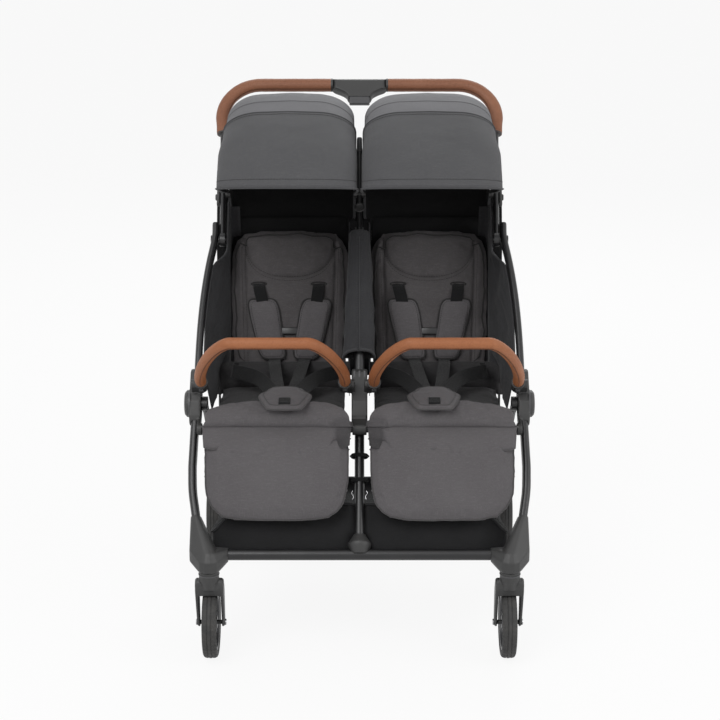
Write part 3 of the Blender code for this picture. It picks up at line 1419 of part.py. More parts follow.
def basket_ring(level, inset):
    """Points round the basket: level 0 is the floor, 1 the walls' foot, 2 their middle and
    3 their top edge. The floor falls to the back and the front wall leans back at its top."""
    front = CROSSBAR_Y + CROSSBAR_R * math.cos(math.pi / ROUND) + FIT
    plan = [
        (front, BAR_END - 0.016), (front + BASKET_CORNER, BASKET_FRONT_HALF),
        (front + BASKET_SHOULDER, BASKET_HALF), (BASKET_BACK_Y - BASKET_CORNER, BASKET_HALF),
        (BASKET_BACK_Y, BASKET_HALF - 0.010),
    ]
    plan += [(y, -x) for y, x in plan[::-1]]
    length = BASKET_BACK_Y - front
    draw = (0.028, 0.0, 0.0, 0.0)[level]
    points = []
    for y, x in plan:
        back = (y - front) / length
        floor = BASKET_FLOOR + (BASKET_FLOOR_BACK - BASKET_FLOOR) * back
        top = BASKET_FRONT if back < 0.01 else BASKET_SIDE
        top = top if back < 0.5 else BASKET_BACK
        foot = min(floor + 0.026, top - 0.008)
        z = (floor + inset, foot, (foot + min(top, BASKET_SIDE)) / 2.0, top)[level]
        lean = BASKET_LEAN if level == 3 and back < 0.01 else 0.0
        x_share = (abs(x) - inset - draw) / abs(x)
        y_share = (length / 2.0 - inset - draw) / (length / 2.0)
        middle = front + length / 2.0
        points.append(Vector((x * x_share, middle + (y - middle) * y_share + lean, z)))
    return points


def make_basket():
    mesh_builder = bmesh.new()
    inside = [basket_ring(level, BASKET_SKIN) for level in range(4)]
    outside = [basket_ring(level, 0.0) for level in range(3, -1, -1)]
    add_rings(mesh_builder, inside + outside)
    basket = add_object("basket", mesh_builder, dark_cloth())
    gap = 0.0020
    leg = swept("basket_leg_notch", [FOOT_BASE + LEG_DIR * 0.02, on_leg(0.10)],
                rounded_section(CENTRE_W + gap, CENTRE_D + gap), X_AXIS, dark_cloth())
    foot = rod("basket_foot_notch", FOOT_BASE - LEG_DIR * 0.002,
               FOOT_BASE + LEG_DIR * (FOOT_TALL + gap), 0.0235 + gap, dark_cloth())
    cut(basket, leg, foot)


SLEEVE_BEHIND = ((0.035, 0.030), (0.065, 0.020), (0.065, -0.020))  # its top, from the fold


def sleeve_wall_outline():
    """The cloth on each side of the middle frame, from its tube back to the backrests."""
    top, back = on_tube(tube_length() - 0.020), BACK_PIN + direction(BACK_ANGLE) * 0.026
    behind = [(KNEE_Y + y, KNEE_Z + z) for y, z in SLEEVE_BEHIND]
    foot = (HINGE_Y + 0.032, HINGE_Z + 0.006)
    return ([foot, (top.y, top.z)] + behind + [(back.y, back.z)])[::-1]


def make_sleeve():
    rings = []
    steps = 6
    sleeve_to = tube_length() + SLEEVE_PAST
    for i in range(steps + 1):
        share = i / steps
        d = SLEEVE_FROM + (sleeve_to - SLEEVE_FROM) * share
        half = SLEEVE_FOOT_W + (SLEEVE_TOP_W - SLEEVE_FOOT_W) * share
        section = rounded_section(half, SLEEVE_D, ROUND, square=2.2)
        normal = TUBE_DIR.cross(X_AXIS)
        rings.append([on_tube(d) + X_AXIS * a + normal * b for a, b in section])
    mesh_builder = bmesh.new()
    add_rings(mesh_builder, rings)
    sleeve = add_object("centre_sleeve", mesh_builder, dark_cloth())
    channel = swept("sleeve_channel", [on_tube(SLEEVE_FROM - 0.02), on_tube(sleeve_to + 0.02)],
                    rounded_section(CENTRE_W + FIT, CENTRE_D + FIT), X_AXIS, dark_cloth())
    low, high = on_tube(tube_length() - 0.030), on_tube(sleeve_to + 0.02)
    room_r, room_x = CLEVIS_R + 0.0010, CENTRE_W + FIT
    room = plate("sleeve_fork_room",
                 hull_outline([(low.y, low.z, room_r), (high.y, high.z, room_r)]),
                 -room_x, room_x, dark_cloth())
    for name, side in SIDES.items():
        wall = plate("sleeve_wall_" + name, sleeve_wall_outline(), side * SLEEVE_WALL_X,
                     side * (SLEEVE_WALL_X + WING_SKIN), dark_cloth())
        join(sleeve, wall)
    cut(sleeve, channel, room)


def wing_front(share):
    """The wing's front edge: beside the seat, on the side tube, then inside the handle's fold."""
    low, high = HOUSING_UP + 0.010, tube_length() + 0.094
    lowest = across(SEAT_OUTER + 0.0090, Vector((0.0, -0.100, 0.4750)))
    d = low + (high - low) * max(0.0, share - WING_HEEL) / (1.0 - WING_HEEL)
    beside_tube = min(tube_x(d / tube_length()) - TUBE_W, HOUSING_INNER) - FIT
    place = on_tube(d) if d < tube_length() else on_arm(d - tube_length())
    turn_in = min(1.0, max(0.0, (d - tube_length() + WING_TURN_FROM) / WING_TURN_LONG))
    edge = across(beside_tube + (WING_KNEE_X - beside_tube) * turn_in, place)
    return lowest.lerp(edge, min(1.0, share / WING_HEEL))


def wing_back(share):
    """The wing's rear edge: beside the backrest, then up into the canopy."""
    up, out = direction(BACK_ANGLE), direction(BACK_ANGLE + 90.0)
    beside = min(share / 0.80, 1.0)
    place = BACK_PIN + up * (0.025 + 0.300 * beside) - out * 0.008
    above = max(0.0, share - 0.80) / 0.20
    top = Vector((0.0, KNEE_Y + WING_TOP_BACK, KNEE_Z + WING_TOP_UP))
    place = place.lerp(top, above)
    return across(BACK_OUTER + 0.0045, place)


def make_wings():
    rows, columns = 12, 4
    behind = direction(BACK_ANGLE - 90.0)
    for name, side in SIDES.items():
        mesh_builder = bmesh.new()
        grid = []
        for i in range(rows + 1):
            share = i / rows
            front, back = wing_front(share), wing_back(share)
            line = []
            for k in range(columns + 1):
                s = k / columns
                point = front.lerp(back, s)
                point.x += WING_BELLY * math.sin(math.pi * s) * (1.0 - share)
                line.append(point)
            line.append(back + behind * (BACK_THICK * 0.85) - X_AXIS * 0.001)
            line.append(back + behind * BACK_THICK - X_AXIS * 0.020)
            grid.append([mesh_builder.verts.new(Vector((side * p.x, p.y, p.z))) for p in line])
        for a, b in zip(grid, grid[1:]):
            for k in range(len(a) - 1):
                mesh_builder.faces.new((a[k], a[k + 1], b[k + 1], b[k]))
        bmesh.ops.recalc_face_normals(mesh_builder, faces=mesh_builder.faces)
        mesh_builder.faces.ensure_lookup_table()
        if mesh_builder.faces[columns * 5].normal.x * side < 0.0:
            bmesh.ops.reverse_faces(mesh_builder, faces=mesh_builder.faces)
        thick_sheet("side_wing_" + name, mesh_builder, dark_cloth(), WING_SKIN)


clear_scene()
make_front_legs()
make_crossbar()
make_front_hubs()
make_centre_foot()
make_side_housings()
make_centre_housing()
make_side_tubes()
make_centre_tube()
make_front_seat_tube()
make_basket()
make_sleeve()
make_wings()
make_rear_legs()
make_rear_axle()
make_brake_pedal()
make_rear_wheels()
make_casters()
make_front_wheels()
make_seat_bases()
make_crotch_pads()
make_rear_seat_tube()
make_seat_links()
make_backrests()
make_harnesses()
make_leg_rests()
make_bumpers()
make_buttons()
make_handle_arms()
make_grips()
make_handle_head()
make_trigger()
make_post()
make_canopies()
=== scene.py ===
import math

import bmesh
import bpy
import numpy as np
from mathutils import Matrix, Vector, noise
from mathutils.bvhtree import BVHTree


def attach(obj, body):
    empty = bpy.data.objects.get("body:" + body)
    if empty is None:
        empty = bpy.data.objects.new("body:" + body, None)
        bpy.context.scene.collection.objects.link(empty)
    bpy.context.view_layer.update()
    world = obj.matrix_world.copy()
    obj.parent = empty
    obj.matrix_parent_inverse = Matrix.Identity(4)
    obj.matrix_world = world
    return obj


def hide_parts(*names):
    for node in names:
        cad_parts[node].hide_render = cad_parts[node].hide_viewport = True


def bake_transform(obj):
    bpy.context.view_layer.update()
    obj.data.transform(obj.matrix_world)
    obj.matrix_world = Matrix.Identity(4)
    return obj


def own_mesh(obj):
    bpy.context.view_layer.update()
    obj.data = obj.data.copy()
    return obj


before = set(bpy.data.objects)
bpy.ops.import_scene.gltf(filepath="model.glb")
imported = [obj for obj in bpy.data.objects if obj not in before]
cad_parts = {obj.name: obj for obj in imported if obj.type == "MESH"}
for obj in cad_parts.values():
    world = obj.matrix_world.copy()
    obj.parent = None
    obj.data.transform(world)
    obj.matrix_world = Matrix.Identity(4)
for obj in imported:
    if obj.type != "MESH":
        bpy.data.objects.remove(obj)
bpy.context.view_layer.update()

# Studio: a pale floor that keeps the pushchair's shadow, a soft key over the front and the
# photograph's own camera, four metres away and eighteen degrees above level.
CAMERA_AIM = Vector((0.0, -0.02, 0.53))
CAMERA_FAR = 4.0
CAMERA_RISE = math.radians(18.0)
LENS_MM = 94.25
SENSOR_MM = 36.0
SHIFT_X, SHIFT_Y = 0.0007, 0.0056
FLOOR_HALF, FLOOR_DROP, FLOOR_GLOW_SHARE = 40.0, 0.0008, 0.90
ROOM_LIGHT = 0.42

camera_data = bpy.data.cameras.new("studio_camera")
camera_data.lens = LENS_MM
camera_data.sensor_width = SENSOR_MM
camera_data.shift_x, camera_data.shift_y = SHIFT_X, SHIFT_Y
camera = bpy.data.objects.new("studio_camera", camera_data)
camera.location = CAMERA_AIM + CAMERA_FAR * Vector(
    (0.0, -math.cos(CAMERA_RISE), math.sin(CAMERA_RISE)))
camera.rotation_euler = (CAMERA_AIM - camera.location).to_track_quat("-Z", "Y").to_euler()
bpy.context.scene.collection.objects.link(camera)
bpy.context.scene.camera = camera
bpy.context.scene.view_settings.view_transform = "Standard"


def soft_lamp(name, place, aim, size, power):
    """A square lamp turned towards a point."""
    lamp_data = bpy.data.lights.new(name, "AREA")
    lamp_data.size = size
    lamp_data.energy = power
    lamp = bpy.data.objects.new(name, lamp_data)
    lamp.location = place
    lamp.rotation_euler = (Vector(aim) - Vector(place)).to_track_quat("-Z", "Y").to_euler()
    bpy.context.scene.collection.objects.link(lamp)


soft_lamp("key_lamp", (-1.3, -2.4, 3.0), (0.0, 0.0, 0.5), 2.2, 62.0)
soft_lamp("side_lamp", (2.6, -1.4, 1.6), (0.0, 0.0, 0.5), 1.8, 24.0)
soft_lamp("back_lamp", (0.4, 2.6, 2.4), (0.0, 0.0, 0.6), 2.0, 34.0)


def white_to_the_eye(tree, lit, white):
    """Shows white to the camera and in gloss and glass, and lit to everything else."""
    rays = tree.nodes.new("ShaderNodeLightPath")
    first = tree.nodes.new("ShaderNodeMath")
    first.operation = "MAXIMUM"
    second = tree.nodes.new("ShaderNodeMath")
    second.operation = "MAXIMUM"
    tree.links.new(rays.outputs["Is Camera Ray"], first.inputs[0])
    tree.links.new(rays.outputs["Is Glossy Ray"], first.inputs[1])
    tree.links.new(first.outputs[0], second.inputs[0])
    tree.links.new(rays.outputs["Is Transmission Ray"], second.inputs[1])
    mix = tree.nodes.new("ShaderNodeMixShader")
    tree.links.new(second.outputs[0], mix.inputs[0])
    tree.links.new(lit, mix.inputs[1])
    tree.links.new(white, mix.inputs[2])
    return mix.outputs[0]


world = bpy.data.worlds.new("studio_world")
world.use_nodes = True
world_tree = world.node_tree
room_light = world_tree.nodes["Background"]
room_light.inputs["Color"].default_value = (1.0, 1.0, 1.0, 1.0)
room_light.inputs["Strength"].default_value = ROOM_LIGHT
seen_light = world_tree.nodes.new("ShaderNodeBackground")
seen_light.inputs["Color"].default_value = (1.0, 1.0, 1.0, 1.0)
seen_light.inputs["Strength"].default_value = 1.0
world_tree.links.new(
    white_to_the_eye(world_tree, room_light.outputs[0], seen_light.outputs[0]),
    world_tree.nodes["World Output"].inputs["Surface"])
bpy.context.scene.world = world

floor_mesh = bpy.data.meshes.new("studio_floor")
floor_mesh.from_pydata(
    [(x * FLOOR_HALF, y * FLOOR_HALF, 0.0) for x, y in
     ((-1.0, -1.0), (1.0, -1.0), (1.0, 1.0), (-1.0, 1.0))], [], [(0, 1, 2, 3)])
floor = bpy.data.objects.new("studio_floor", floor_mesh)
floor.location.z = -FLOOR_DROP
bpy.context.scene.collection.objects.link(floor)
floor_paint = bpy.data.materials.new("floor_paint")
floor_paint.use_nodes = True
floor_tree = floor_paint.node_tree
floor_shader = floor_tree.nodes["Principled BSDF"]
floor_shader.inputs["Base Color"].default_value = (0.86, 0.86, 0.86, 1.0)
floor_shader.inputs["Roughness"].default_value = 0.9
floor_glow = floor_tree.nodes.new("ShaderNodeEmission")
floor_glow.inputs["Strength"].default_value = 1.0
floor_half = floor_tree.nodes.new("ShaderNodeMixShader")
floor_half.inputs[0].default_value = FLOOR_GLOW_SHARE
floor_tree.links.new(floor_shader.outputs[0], floor_half.inputs[1])
floor_tree.links.new(floor_glow.outputs[0], floor_half.inputs[2])
floor_tree.links.new(
    white_to_the_eye(floor_tree, floor_shader.outputs[0], floor_half.outputs[0]),
    floor_tree.nodes["Material Output"].inputs["Surface"])
floor_mesh.materials.append(floor_paint)


# Painted aluminium tube: satin black powder coat with a faint orange peel, paler where hands and
# shoes have rubbed it. It covers the legs, the upright tubes, the arms and every cross tube.
FRAME_BLACK = (30, 30, 31)


def screen_colour(red, green, blue):
    """A colour as a screen shows it, 0 to 255, turned into linear light."""
    shares = [value / 255.0 for value in (red, green, blue)]
    linear = [s / 12.92 if s <= 0.04045 else ((s + 0.055) / 1.055) ** 2.4 for s in shares]
    return (*linear, 1.0)


def new_group(name, inputs, outputs):
    """An empty node group with these sockets; each entry is (name, type, default)."""
    group = bpy.data.node_groups.new(name, "ShaderNodeTree")
    for socket_name, kind, value in inputs:
        socket = group.interface.new_socket(socket_name, in_out="INPUT", socket_type=kind)
        if value is not None:
            socket.default_value = value
    for socket_name, kind in outputs:
        group.interface.new_socket(socket_name, in_out="OUTPUT", socket_type=kind)
    ends = group.nodes.new("NodeGroupInput"), group.nodes.new("NodeGroupOutput")
    return group, ends[0], ends[1]


def maths(tree, operation, first, second=None, third=None, clamp=False):
    """A Math node fed by sockets or plain numbers; gives its output socket."""
    node = tree.nodes.new("ShaderNodeMath")
    node.operation = operation
    node.use_clamp = clamp
    for slot, value in zip(node.inputs, (first, second, third)):
        if value is None:
            continue
        if hasattr(value, "default_value"):
            tree.links.new(value, slot)
        else:
            slot.default_value = value
    return node.outputs[0]


def noise_at(tree, coordinates, scale, detail=3.0, roughness=0.55):
    """A Noise node's value at these coordinates; scale may be a socket."""
    node = tree.nodes.new("ShaderNodeTexNoise")
    node.inputs["Detail"].default_value = detail
    node.inputs["Roughness"].default_value = roughness
    tree.links.new(coordinates, node.inputs["Vector"])
    if hasattr(scale, "default_value"):
        tree.links.new(scale, node.inputs["Scale"])
    else:
        node.inputs["Scale"].default_value = scale
    return node.outputs["Fac"]


def mixed(tree, share, first, second):
    """A colour between two, by share."""
    node = tree.nodes.new("ShaderNodeMix")
    node.data_type = "RGBA"
    tree.links.new(share, node.inputs[0])
    for slot, value in ((node.inputs[6], first), (node.inputs[7], second)):
        if hasattr(value, "default_value"):
            tree.links.new(value, slot)
        else:
            slot.default_value = value
    return node.outputs[2]


def build_coat_effect():
    """Powder coat and moulded plastic: speckled tone, rubbed patches and a grainy height."""
    group, given, made = new_group(
        "coat_and_grain",
        [("Colour", "NodeSocketColor", None), ("Rubbed Colour", "NodeSocketColor", None),
         ("Grain Scale", "NodeSocketFloat", 900.0), ("Rub Amount", "NodeSocketFloat", 0.3),
         ("Roughness", "NodeSocketFloat", 0.4)],
        [("Colour", "NodeSocketColor"), ("Roughness", "NodeSocketFloat"),
         ("Height", "NodeSocketFloat")])
    where = group.nodes.new("ShaderNodeTexCoord").outputs["Object"]
    grain = noise_at(group, where, given.outputs["Grain Scale"], 4.0, 0.6)
    broad = noise_at(group, where, 9.0, 5.0, 0.6)
    fine = noise_at(group, where, 160.0, 3.0, 0.7)
    patch = maths(group, "MULTIPLY_ADD", broad, 3.2, -1.55, clamp=True)
    patch = maths(group, "MULTIPLY", patch, fine)
    patch = maths(group, "MULTIPLY", patch, given.outputs["Rub Amount"])
    speck = maths(group, "MULTIPLY_ADD", grain, 0.5, -0.18, clamp=True)
    share = maths(group, "ADD", patch, maths(group, "MULTIPLY", speck, 0.22), clamp=True)
    colour = mixed(group, share, given.outputs["Colour"], given.outputs["Rubbed Colour"])
    rough = maths(group, "MULTIPLY_ADD", patch, 0.30, given.outputs["Roughness"])
    rough = maths(group, "ADD", rough, maths(group, "MULTIPLY_ADD", fine, 0.10, -0.05), clamp=True)
    group.links.new(colour, made.inputs["Colour"])
    group.links.new(rough, made.inputs["Roughness"])
    group.links.new(grain, made.inputs["Height"])
    return group


def surfaced(name, group, values, bump, relief_deep=0.0004):
    """A material with colour, roughness and relief from an effect; tuples are screen colours."""
    material = bpy.data.materials.new(name)
    material.use_nodes = True
    tree = material.node_tree
    shader = tree.nodes["Principled BSDF"]
    effect = tree.nodes.new("ShaderNodeGroup")
    effect.node_tree = group
    for socket, value in values.items():
        effect.inputs[socket].default_value = (
            screen_colour(*value) if isinstance(value, tuple) else value)
    relief = tree.nodes.new("ShaderNodeBump")
    relief.inputs["Strength"].default_value = bump
    relief.inputs["Distance"].default_value = relief_deep
    tree.links.new(effect.outputs["Colour"], shader.inputs["Base Color"])
    tree.links.new(effect.outputs["Roughness"], shader.inputs["Roughness"])
    tree.links.new(effect.outputs["Height"], relief.inputs["Height"])
    tree.links.new(relief.outputs["Normal"], shader.inputs["Normal"])
    return material, shader


coat_effect = build_coat_effect()


def coated(name, colour, rubbed, roughness, metallic, grain, bump, rub, coat=0.0):
    """A hard material: painted tube or moulded plastic, by the values it is given."""
    material, shader = surfaced(
        name, coat_effect, {"Colour": colour, "Rubbed Colour": rubbed, "Grain Scale": grain,
                            "Rub Amount": rub, "Roughness": roughness}, bump)
    shader.inputs["Metallic"].default_value = metallic
    shader.inputs["Coat Weight"].default_value = coat
    shader.inputs["Coat Roughness"].default_value = 0.25
    return material


satin_black = coated("satin_black_tube", FRAME_BLACK, (82, 82, 84), 0.36, 0.35, 1400.0, 0.25,
                     0.35, 0.25)
bright_steel = coated("bright_steel", (196, 196, 198), (120, 118, 114), 0.24, 1.0, 700.0, 0.1, 0.4)


# Tubes of the frame: extruded aluminium with flat-sided oval sections. The side tubes bow out
# between the hinge housings and the handle's fold; each ends in a pressed plastic plug.
HINGE = Vector((0.0, -0.120, 0.476))
KNEE = Vector((0.0, 0.125, 0.765))
GRIP = Vector((0.0, 0.380, 1.056))
LEG_FOOT = Vector((0.0, -0.335, 0.210))
CROSSBAR = Vector((0.0, -0.320, 0.2225))
SIDES = {"left": -1.0, "right": 1.0}
X_AXIS = Vector((1.0, 0.0, 0.0))
LEG_LINE = ((0.0, 0.3390), (0.060, 0.3410), (0.140, 0.3430), (0.190, 0.3412), (0.245, 0.3325),
            (0.280, 0.3270))
HINGE_X, KNEE_X = 0.338, 0.3105
LEG_DIR = (HINGE - LEG_FOOT).normalized()
TUBE_DIR = (KNEE - HINGE).normalized()
ARM_DIR = (GRIP - KNEE).normalized()
TUBE_LONG = (KNEE - HINGE).length
ARM_LONG = (GRIP - KNEE).length
TUBE_SIDES = 40


def across(x, place):
    return Vector((x, place.y, place.z))


def smooth_line(points, steps):
    """A Catmull-Rom curve through the points, with this many steps between each two."""
    points = [Vector(p) for p in points]
    line = []
    for i in range(len(points) - 1):
        before = points[max(i - 1, 0)]
        after = points[min(i + 2, len(points) - 1)]
        for k in range(steps):
            t = k / steps
            a, b = points[i], points[i + 1]
            line.append(0.5 * ((2.0 * a) + (b - before) * t
                               + (2.0 * before - 5.0 * a + 4.0 * b - after) * t * t
                               + (3.0 * a - before - 3.0 * b + after) * t ** 3))
    line.append(points[-1])
    return line


def oval(half_a, half_b, square=2.0, sides=TUBE_SIDES):
    """Points round an oval; a larger square gives flatter sides."""
    points = []
    for i in range(sides):
        angle = 2.0 * math.pi * (i + 0.5) / sides
        c, s = math.cos(angle), math.sin(angle)
        points.append((math.copysign(abs(c) ** (2.0 / square), c) * half_a,
                       math.copysign(abs(s) ** (2.0 / square), s) * half_b))
    return points


def skin_rings(shape, rings, loop=False):
    """Faces between closed rings of points, with caps at both ends unless they loop."""
    made = [[shape.verts.new(p) for p in ring] for ring in rings]
    pairs = list(zip(made, made[1:] + made[:1])) if loop else list(zip(made, made[1:]))
    count = len(made[0])
    for first, second in pairs:
        for i in range(count):
            j = (i + 1) % count
            shape.faces.new((first[i], first[j], second[j], second[i]))
    if not loop:
        shape.faces.new(made[0][::-1])
        shape.faces.new(made[-1])


def run_along(shape, path, section, side_axis, grow=None, loop=False):
    """Sweeps a section along a path into shape. grow(i) scales it at each point."""
    rings = []
    for i, point in enumerate(path):
        before = path[(i - 1) % len(path)] if loop else path[max(i - 1, 0)]
        after = path[(i + 1) % len(path)] if loop else path[min(i + 1, len(path) - 1)]
        tangent = (after - before).normalized()
        first = (side_axis - tangent * side_axis.dot(tangent)).normalized()
        second = tangent.cross(first)
        size = grow(i) if grow else 1.0
        rings.append([point + (first * a + second * b) * size for a, b in section])
    skin_rings(shape, rings, loop)


def turn_round(shape, profile, centre, axis, steps=48, ring=False):
    """Turns (distance along axis, radius) points round an axis into shape."""
    side = axis.orthogonal().normalized()
    other = axis.cross(side)
    rings = []
    for along, radius in profile:
        rings.append([centre + axis * along
                      + (side * math.cos(2.0 * math.pi * i / steps)
                         + other * math.sin(2.0 * math.pi * i / steps)) * radius
                      for i in range(steps)])
    skin_rings(shape, rings, ring)


def finished(name, shape, material, sharp=38.0, subdivide=0):
    """The shape as an object with one material, smooth but for its sharp edges."""
    bmesh.ops.recalc_face_normals(shape, faces=shape.faces)
    mesh = bpy.data.meshes.new(name)
    shape.to_mesh(mesh)
    shape.free()
    mesh.shade_smooth()
    if sharp:
        mesh.set_sharp_from_angle(angle=math.radians(sharp))
    mesh.materials.append(material)
    piece = bpy.data.objects.new(name, mesh)
    bpy.context.scene.collection.objects.link(piece)
    if subdivide:
        layer = piece.modifiers.new("smoother", "SUBSURF")
        layer.levels = layer.render_levels = subdivide
    return piece


def place(piece, body, *nodes, slot=None):
    """Puts a finished piece on its body, in the stead of these nodes."""
    if nodes:
        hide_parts(*nodes)
    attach(piece, body)
    return piece


def on_tube(distance):
    return HINGE + TUBE_DIR * distance


def on_leg(distance):
    return HINGE - LEG_DIR * distance


def on_arm(distance):
    return KNEE + ARM_DIR * distance


def tube_x(distance):
    return HINGE_X + (KNEE_X - HINGE_X) * min(1.0, distance / TUBE_LONG) ** 3


def leg_x(distance):
    for (d0, x0), (d1, x1) in zip(LEG_LINE, LEG_LINE[1:]):
        if distance <= d1:
            break
    return x0 + (x1 - x0) * (distance - d0) / (d1 - d0)


def rivet(shape, centre, axis, radius, rise):
    """A domed rivet head that stands on a surface."""
    turn_round(shape, [(-0.001, radius), (rise * 0.45, radius), (rise * 0.85, radius * 0.75),
                       (rise, radius * 0.35)], centre, axis, 20)


leg_section = oval(0.0088, 0.0140, 2.6)
tube_section = oval(0.0075, 0.0140, 2.6)
centre_section = oval(0.0100, 0.0100)
for side_name, side in SIDES.items():
    shape = bmesh.new()
    stops = [0.263 - (0.263 - 0.012) * i / 12 for i in range(13)]
    run_along(shape, smooth_line([across(side * leg_x(d), on_leg(d)) for d in stops], 3),
              leg_section, X_AXIS)
    place(finished("front_leg_tube_" + side_name, shape, satin_black), "frame",
          "front_leg_" + side_name, slot="black_tube")
    shape = bmesh.new()
    stops = [0.052 + (TUBE_LONG + 0.033 - 0.052) * i / 14 for i in range(15)]
    path = smooth_line([across(side * tube_x(d), on_tube(d)) for d in stops], 3)
    run_along(shape, path, tube_section, X_AXIS)
    plug = on_tube(TUBE_LONG + 0.033)
    run_along(shape, [across(side * KNEE_X, plug), across(side * KNEE_X, plug + TUBE_DIR * 0.0028)],
              oval(0.0071, 0.0134, 2.6), X_AXIS)
    turn_round(shape, [(-0.006, 0.0055), (0.0155, 0.0055)], across(side * 0.3025, KNEE),
               -X_AXIS * side, 24)
    turn_round(shape, [(0.0, 0.0098), (0.0022, 0.0098), (0.0030, 0.0080)],
               across(side * (KNEE_X + 0.0070), KNEE), X_AXIS * side, 28)
    place(finished("side_upright_tube_" + side_name, shape, satin_black), "frame",
          "side_tube_" + side_name, slot="black_tube")
    shape = bmesh.new()
    for d in (0.372, 0.348):
        spot = across(side * tube_x(d), on_tube(d)) + TUBE_DIR.cross(X_AXIS) * 0.0136
        rivet(shape, spot, TUBE_DIR.cross(X_AXIS), 0.0028, 0.0012)
    place(finished("side_upright_rivets_" + side_name, shape, bright_steel), "frame",
          slot="black_tube")

shape = bmesh.new()
foot_base = HINGE - LEG_DIR * (HINGE - CROSSBAR).dot(LEG_DIR)
run_along(shape, [foot_base + LEG_DIR * 0.0403, on_leg(0.012)], centre_section, X_AXIS)
place(finished("centre_leg_tube", shape, satin_black), "frame", "front_leg_centre",
      slot="black_tube")

shape = bmesh.new()
BAR_END = 0.265
run_along(shape, [across(x, CROSSBAR) for x in (-BAR_END - 0.02, 0.0, BAR_END + 0.02)],
          oval(0.0115, 0.0115), Vector((0.0, 0.0, 1.0)))
place(finished("front_cross_tube", shape, satin_black), "frame", "front_crossbar",
      slot="black_tube")


# Corner castings, centre foot and main hinge housings: glass-filled nylon, moulded with a fine
# spark grain and soft edges. The legs and the cross tube are pressed into their sockets.
def frame_copy(node, name):
    """A new object with a copy of a frame node's own mesh."""
    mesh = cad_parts[node].data.copy()
    mesh.materials.clear()
    piece = bpy.data.objects.new(name, mesh)
    bpy.context.scene.collection.objects.link(piece)
    return piece


def settle(piece):
    """Applies every modifier of a piece to its mesh."""
    seen = piece.evaluated_get(bpy.context.evaluated_depsgraph_get())
    mesh = bpy.data.meshes.new_from_object(seen)
    old = piece.data
    piece.modifiers.clear()
    piece.data = mesh
    bpy.data.meshes.remove(old)


def moulded(node, name, material, voxel=0.0014, rounds=5, sharp=0.0):
    """A moulding with rounded edges, over the frame node's own shape."""
    piece = frame_copy(node, name)
    layer = piece.modifiers.new("skin", "REMESH")
    layer.mode = "VOXEL"
    layer.voxel_size = voxel
    layer.adaptivity = 0.0
    soften = piece.modifiers.new("soft_edges", "SMOOTH")
    soften.factor = 0.5
    soften.iterations = rounds
    settle(piece)
    piece.data.shade_smooth()
    if sharp:
        piece.data.set_sharp_from_angle(angle=math.radians(sharp))
    piece.data.materials.append(material)
    return piece


black_moulding = coated("black_nylon", (52, 52, 52), (92, 92, 90), 0.46, 0.0, 1500.0, 0.5, 0.22)
grey_moulding = coated("grey_nylon", (72, 72, 74), (116, 116, 116), 0.40, 0.0, 1500.0, 0.4, 0.22)

for side_name in SIDES:
    place(moulded("front_hub_" + side_name, "corner_casting_" + side_name, black_moulding,
                  0.0013, 8), "frame", "front_hub_" + side_name, slot="black_plastic")

shape = bmesh.new()
foot_turn = [(0.000, 0.0150), (0.004, 0.0172), (0.012, 0.0212), (0.0165, 0.0231),
             (0.0185, 0.0235), (0.0205, 0.0235), (0.0222, 0.0229), (0.0250, 0.0212),
             (0.0320, 0.0166), (0.0385, 0.0128), (0.0400, 0.0120)]
turn_round(shape, foot_turn, foot_base, LEG_DIR, 56)
foot = finished("centre_leg_foot", shape, black_moulding)
saddle_shape = bmesh.new()
run_along(saddle_shape, [across(-0.05, CROSSBAR), across(0.05, CROSSBAR)],
          oval(0.0118, 0.0118), Vector((0.0, 0.0, 1.0)))
saddle = finished("foot_saddle_cutter", saddle_shape, black_moulding)
cutter = foot.modifiers.new("saddle", "BOOLEAN")
cutter.operation = "DIFFERENCE"
cutter.solver = "EXACT"
cutter.object = saddle
settle(foot)
bpy.data.objects.remove(saddle, do_unlink=True)
foot.data.set_sharp_from_angle(angle=math.radians(38.0))
place(foot, "frame", "centre_foot", slot="black_plastic")

HOUSING_INNER = HINGE_X - 0.0096
for side_name, side in SIDES.items():
    place(moulded("hinge_housing_" + side_name, "hinge_shell_" + side_name, black_moulding,
                  0.0012, 6), "frame", "hinge_housing_" + side_name, slot="black_plastic")
    shape = bmesh.new()
    cap_x = HOUSING_INNER + 0.0240 - 0.002
    turn_round(shape, [(0.0, 0.0292), (0.0035, 0.0292), (0.0042, 0.0286)],
               across(side * cap_x, HINGE), X_AXIS * side, 64)
    place(finished("hinge_cap_rim_" + side_name, shape, grey_moulding), "frame",
          slot="grey_plastic")
    shape = bmesh.new()
    turn_round(shape, [(0.0122, 0.0105), (0.0136, 0.0105), (0.0142, 0.0095), (0.0142, 0.0060),
                       (0.0134, 0.0050)], across(side * (cap_x - 0.0010), HINGE),
               X_AXIS * side, 40)
    place(finished("hinge_cap_button_" + side_name, shape, bright_steel), "frame",
          slot="black_tube")
place(moulded("hinge_housing_centre", "hinge_shell_centre", black_moulding, 0.0012, 6),
      "frame", "hinge_housing_centre", slot="black_plastic")

shape = bmesh.new()
ridge_up = TUBE_DIR.cross(X_AXIS)
if ridge_up.y > 0.0:
    ridge_up = -ridge_up
for x in (-0.0105, 0.0, 0.0105):
    start = across(x, on_tube(0.052)) + ridge_up * 0.0185
    end = across(x, on_tube(0.066)) + ridge_up * 0.0180
    run_along(shape, [start, end], oval(0.0022, 0.0012, 3.0, 16), X_AXIS)
place(finished("centre_hinge_ribs", shape, grey_moulding), "frame", slot="grey_plastic")


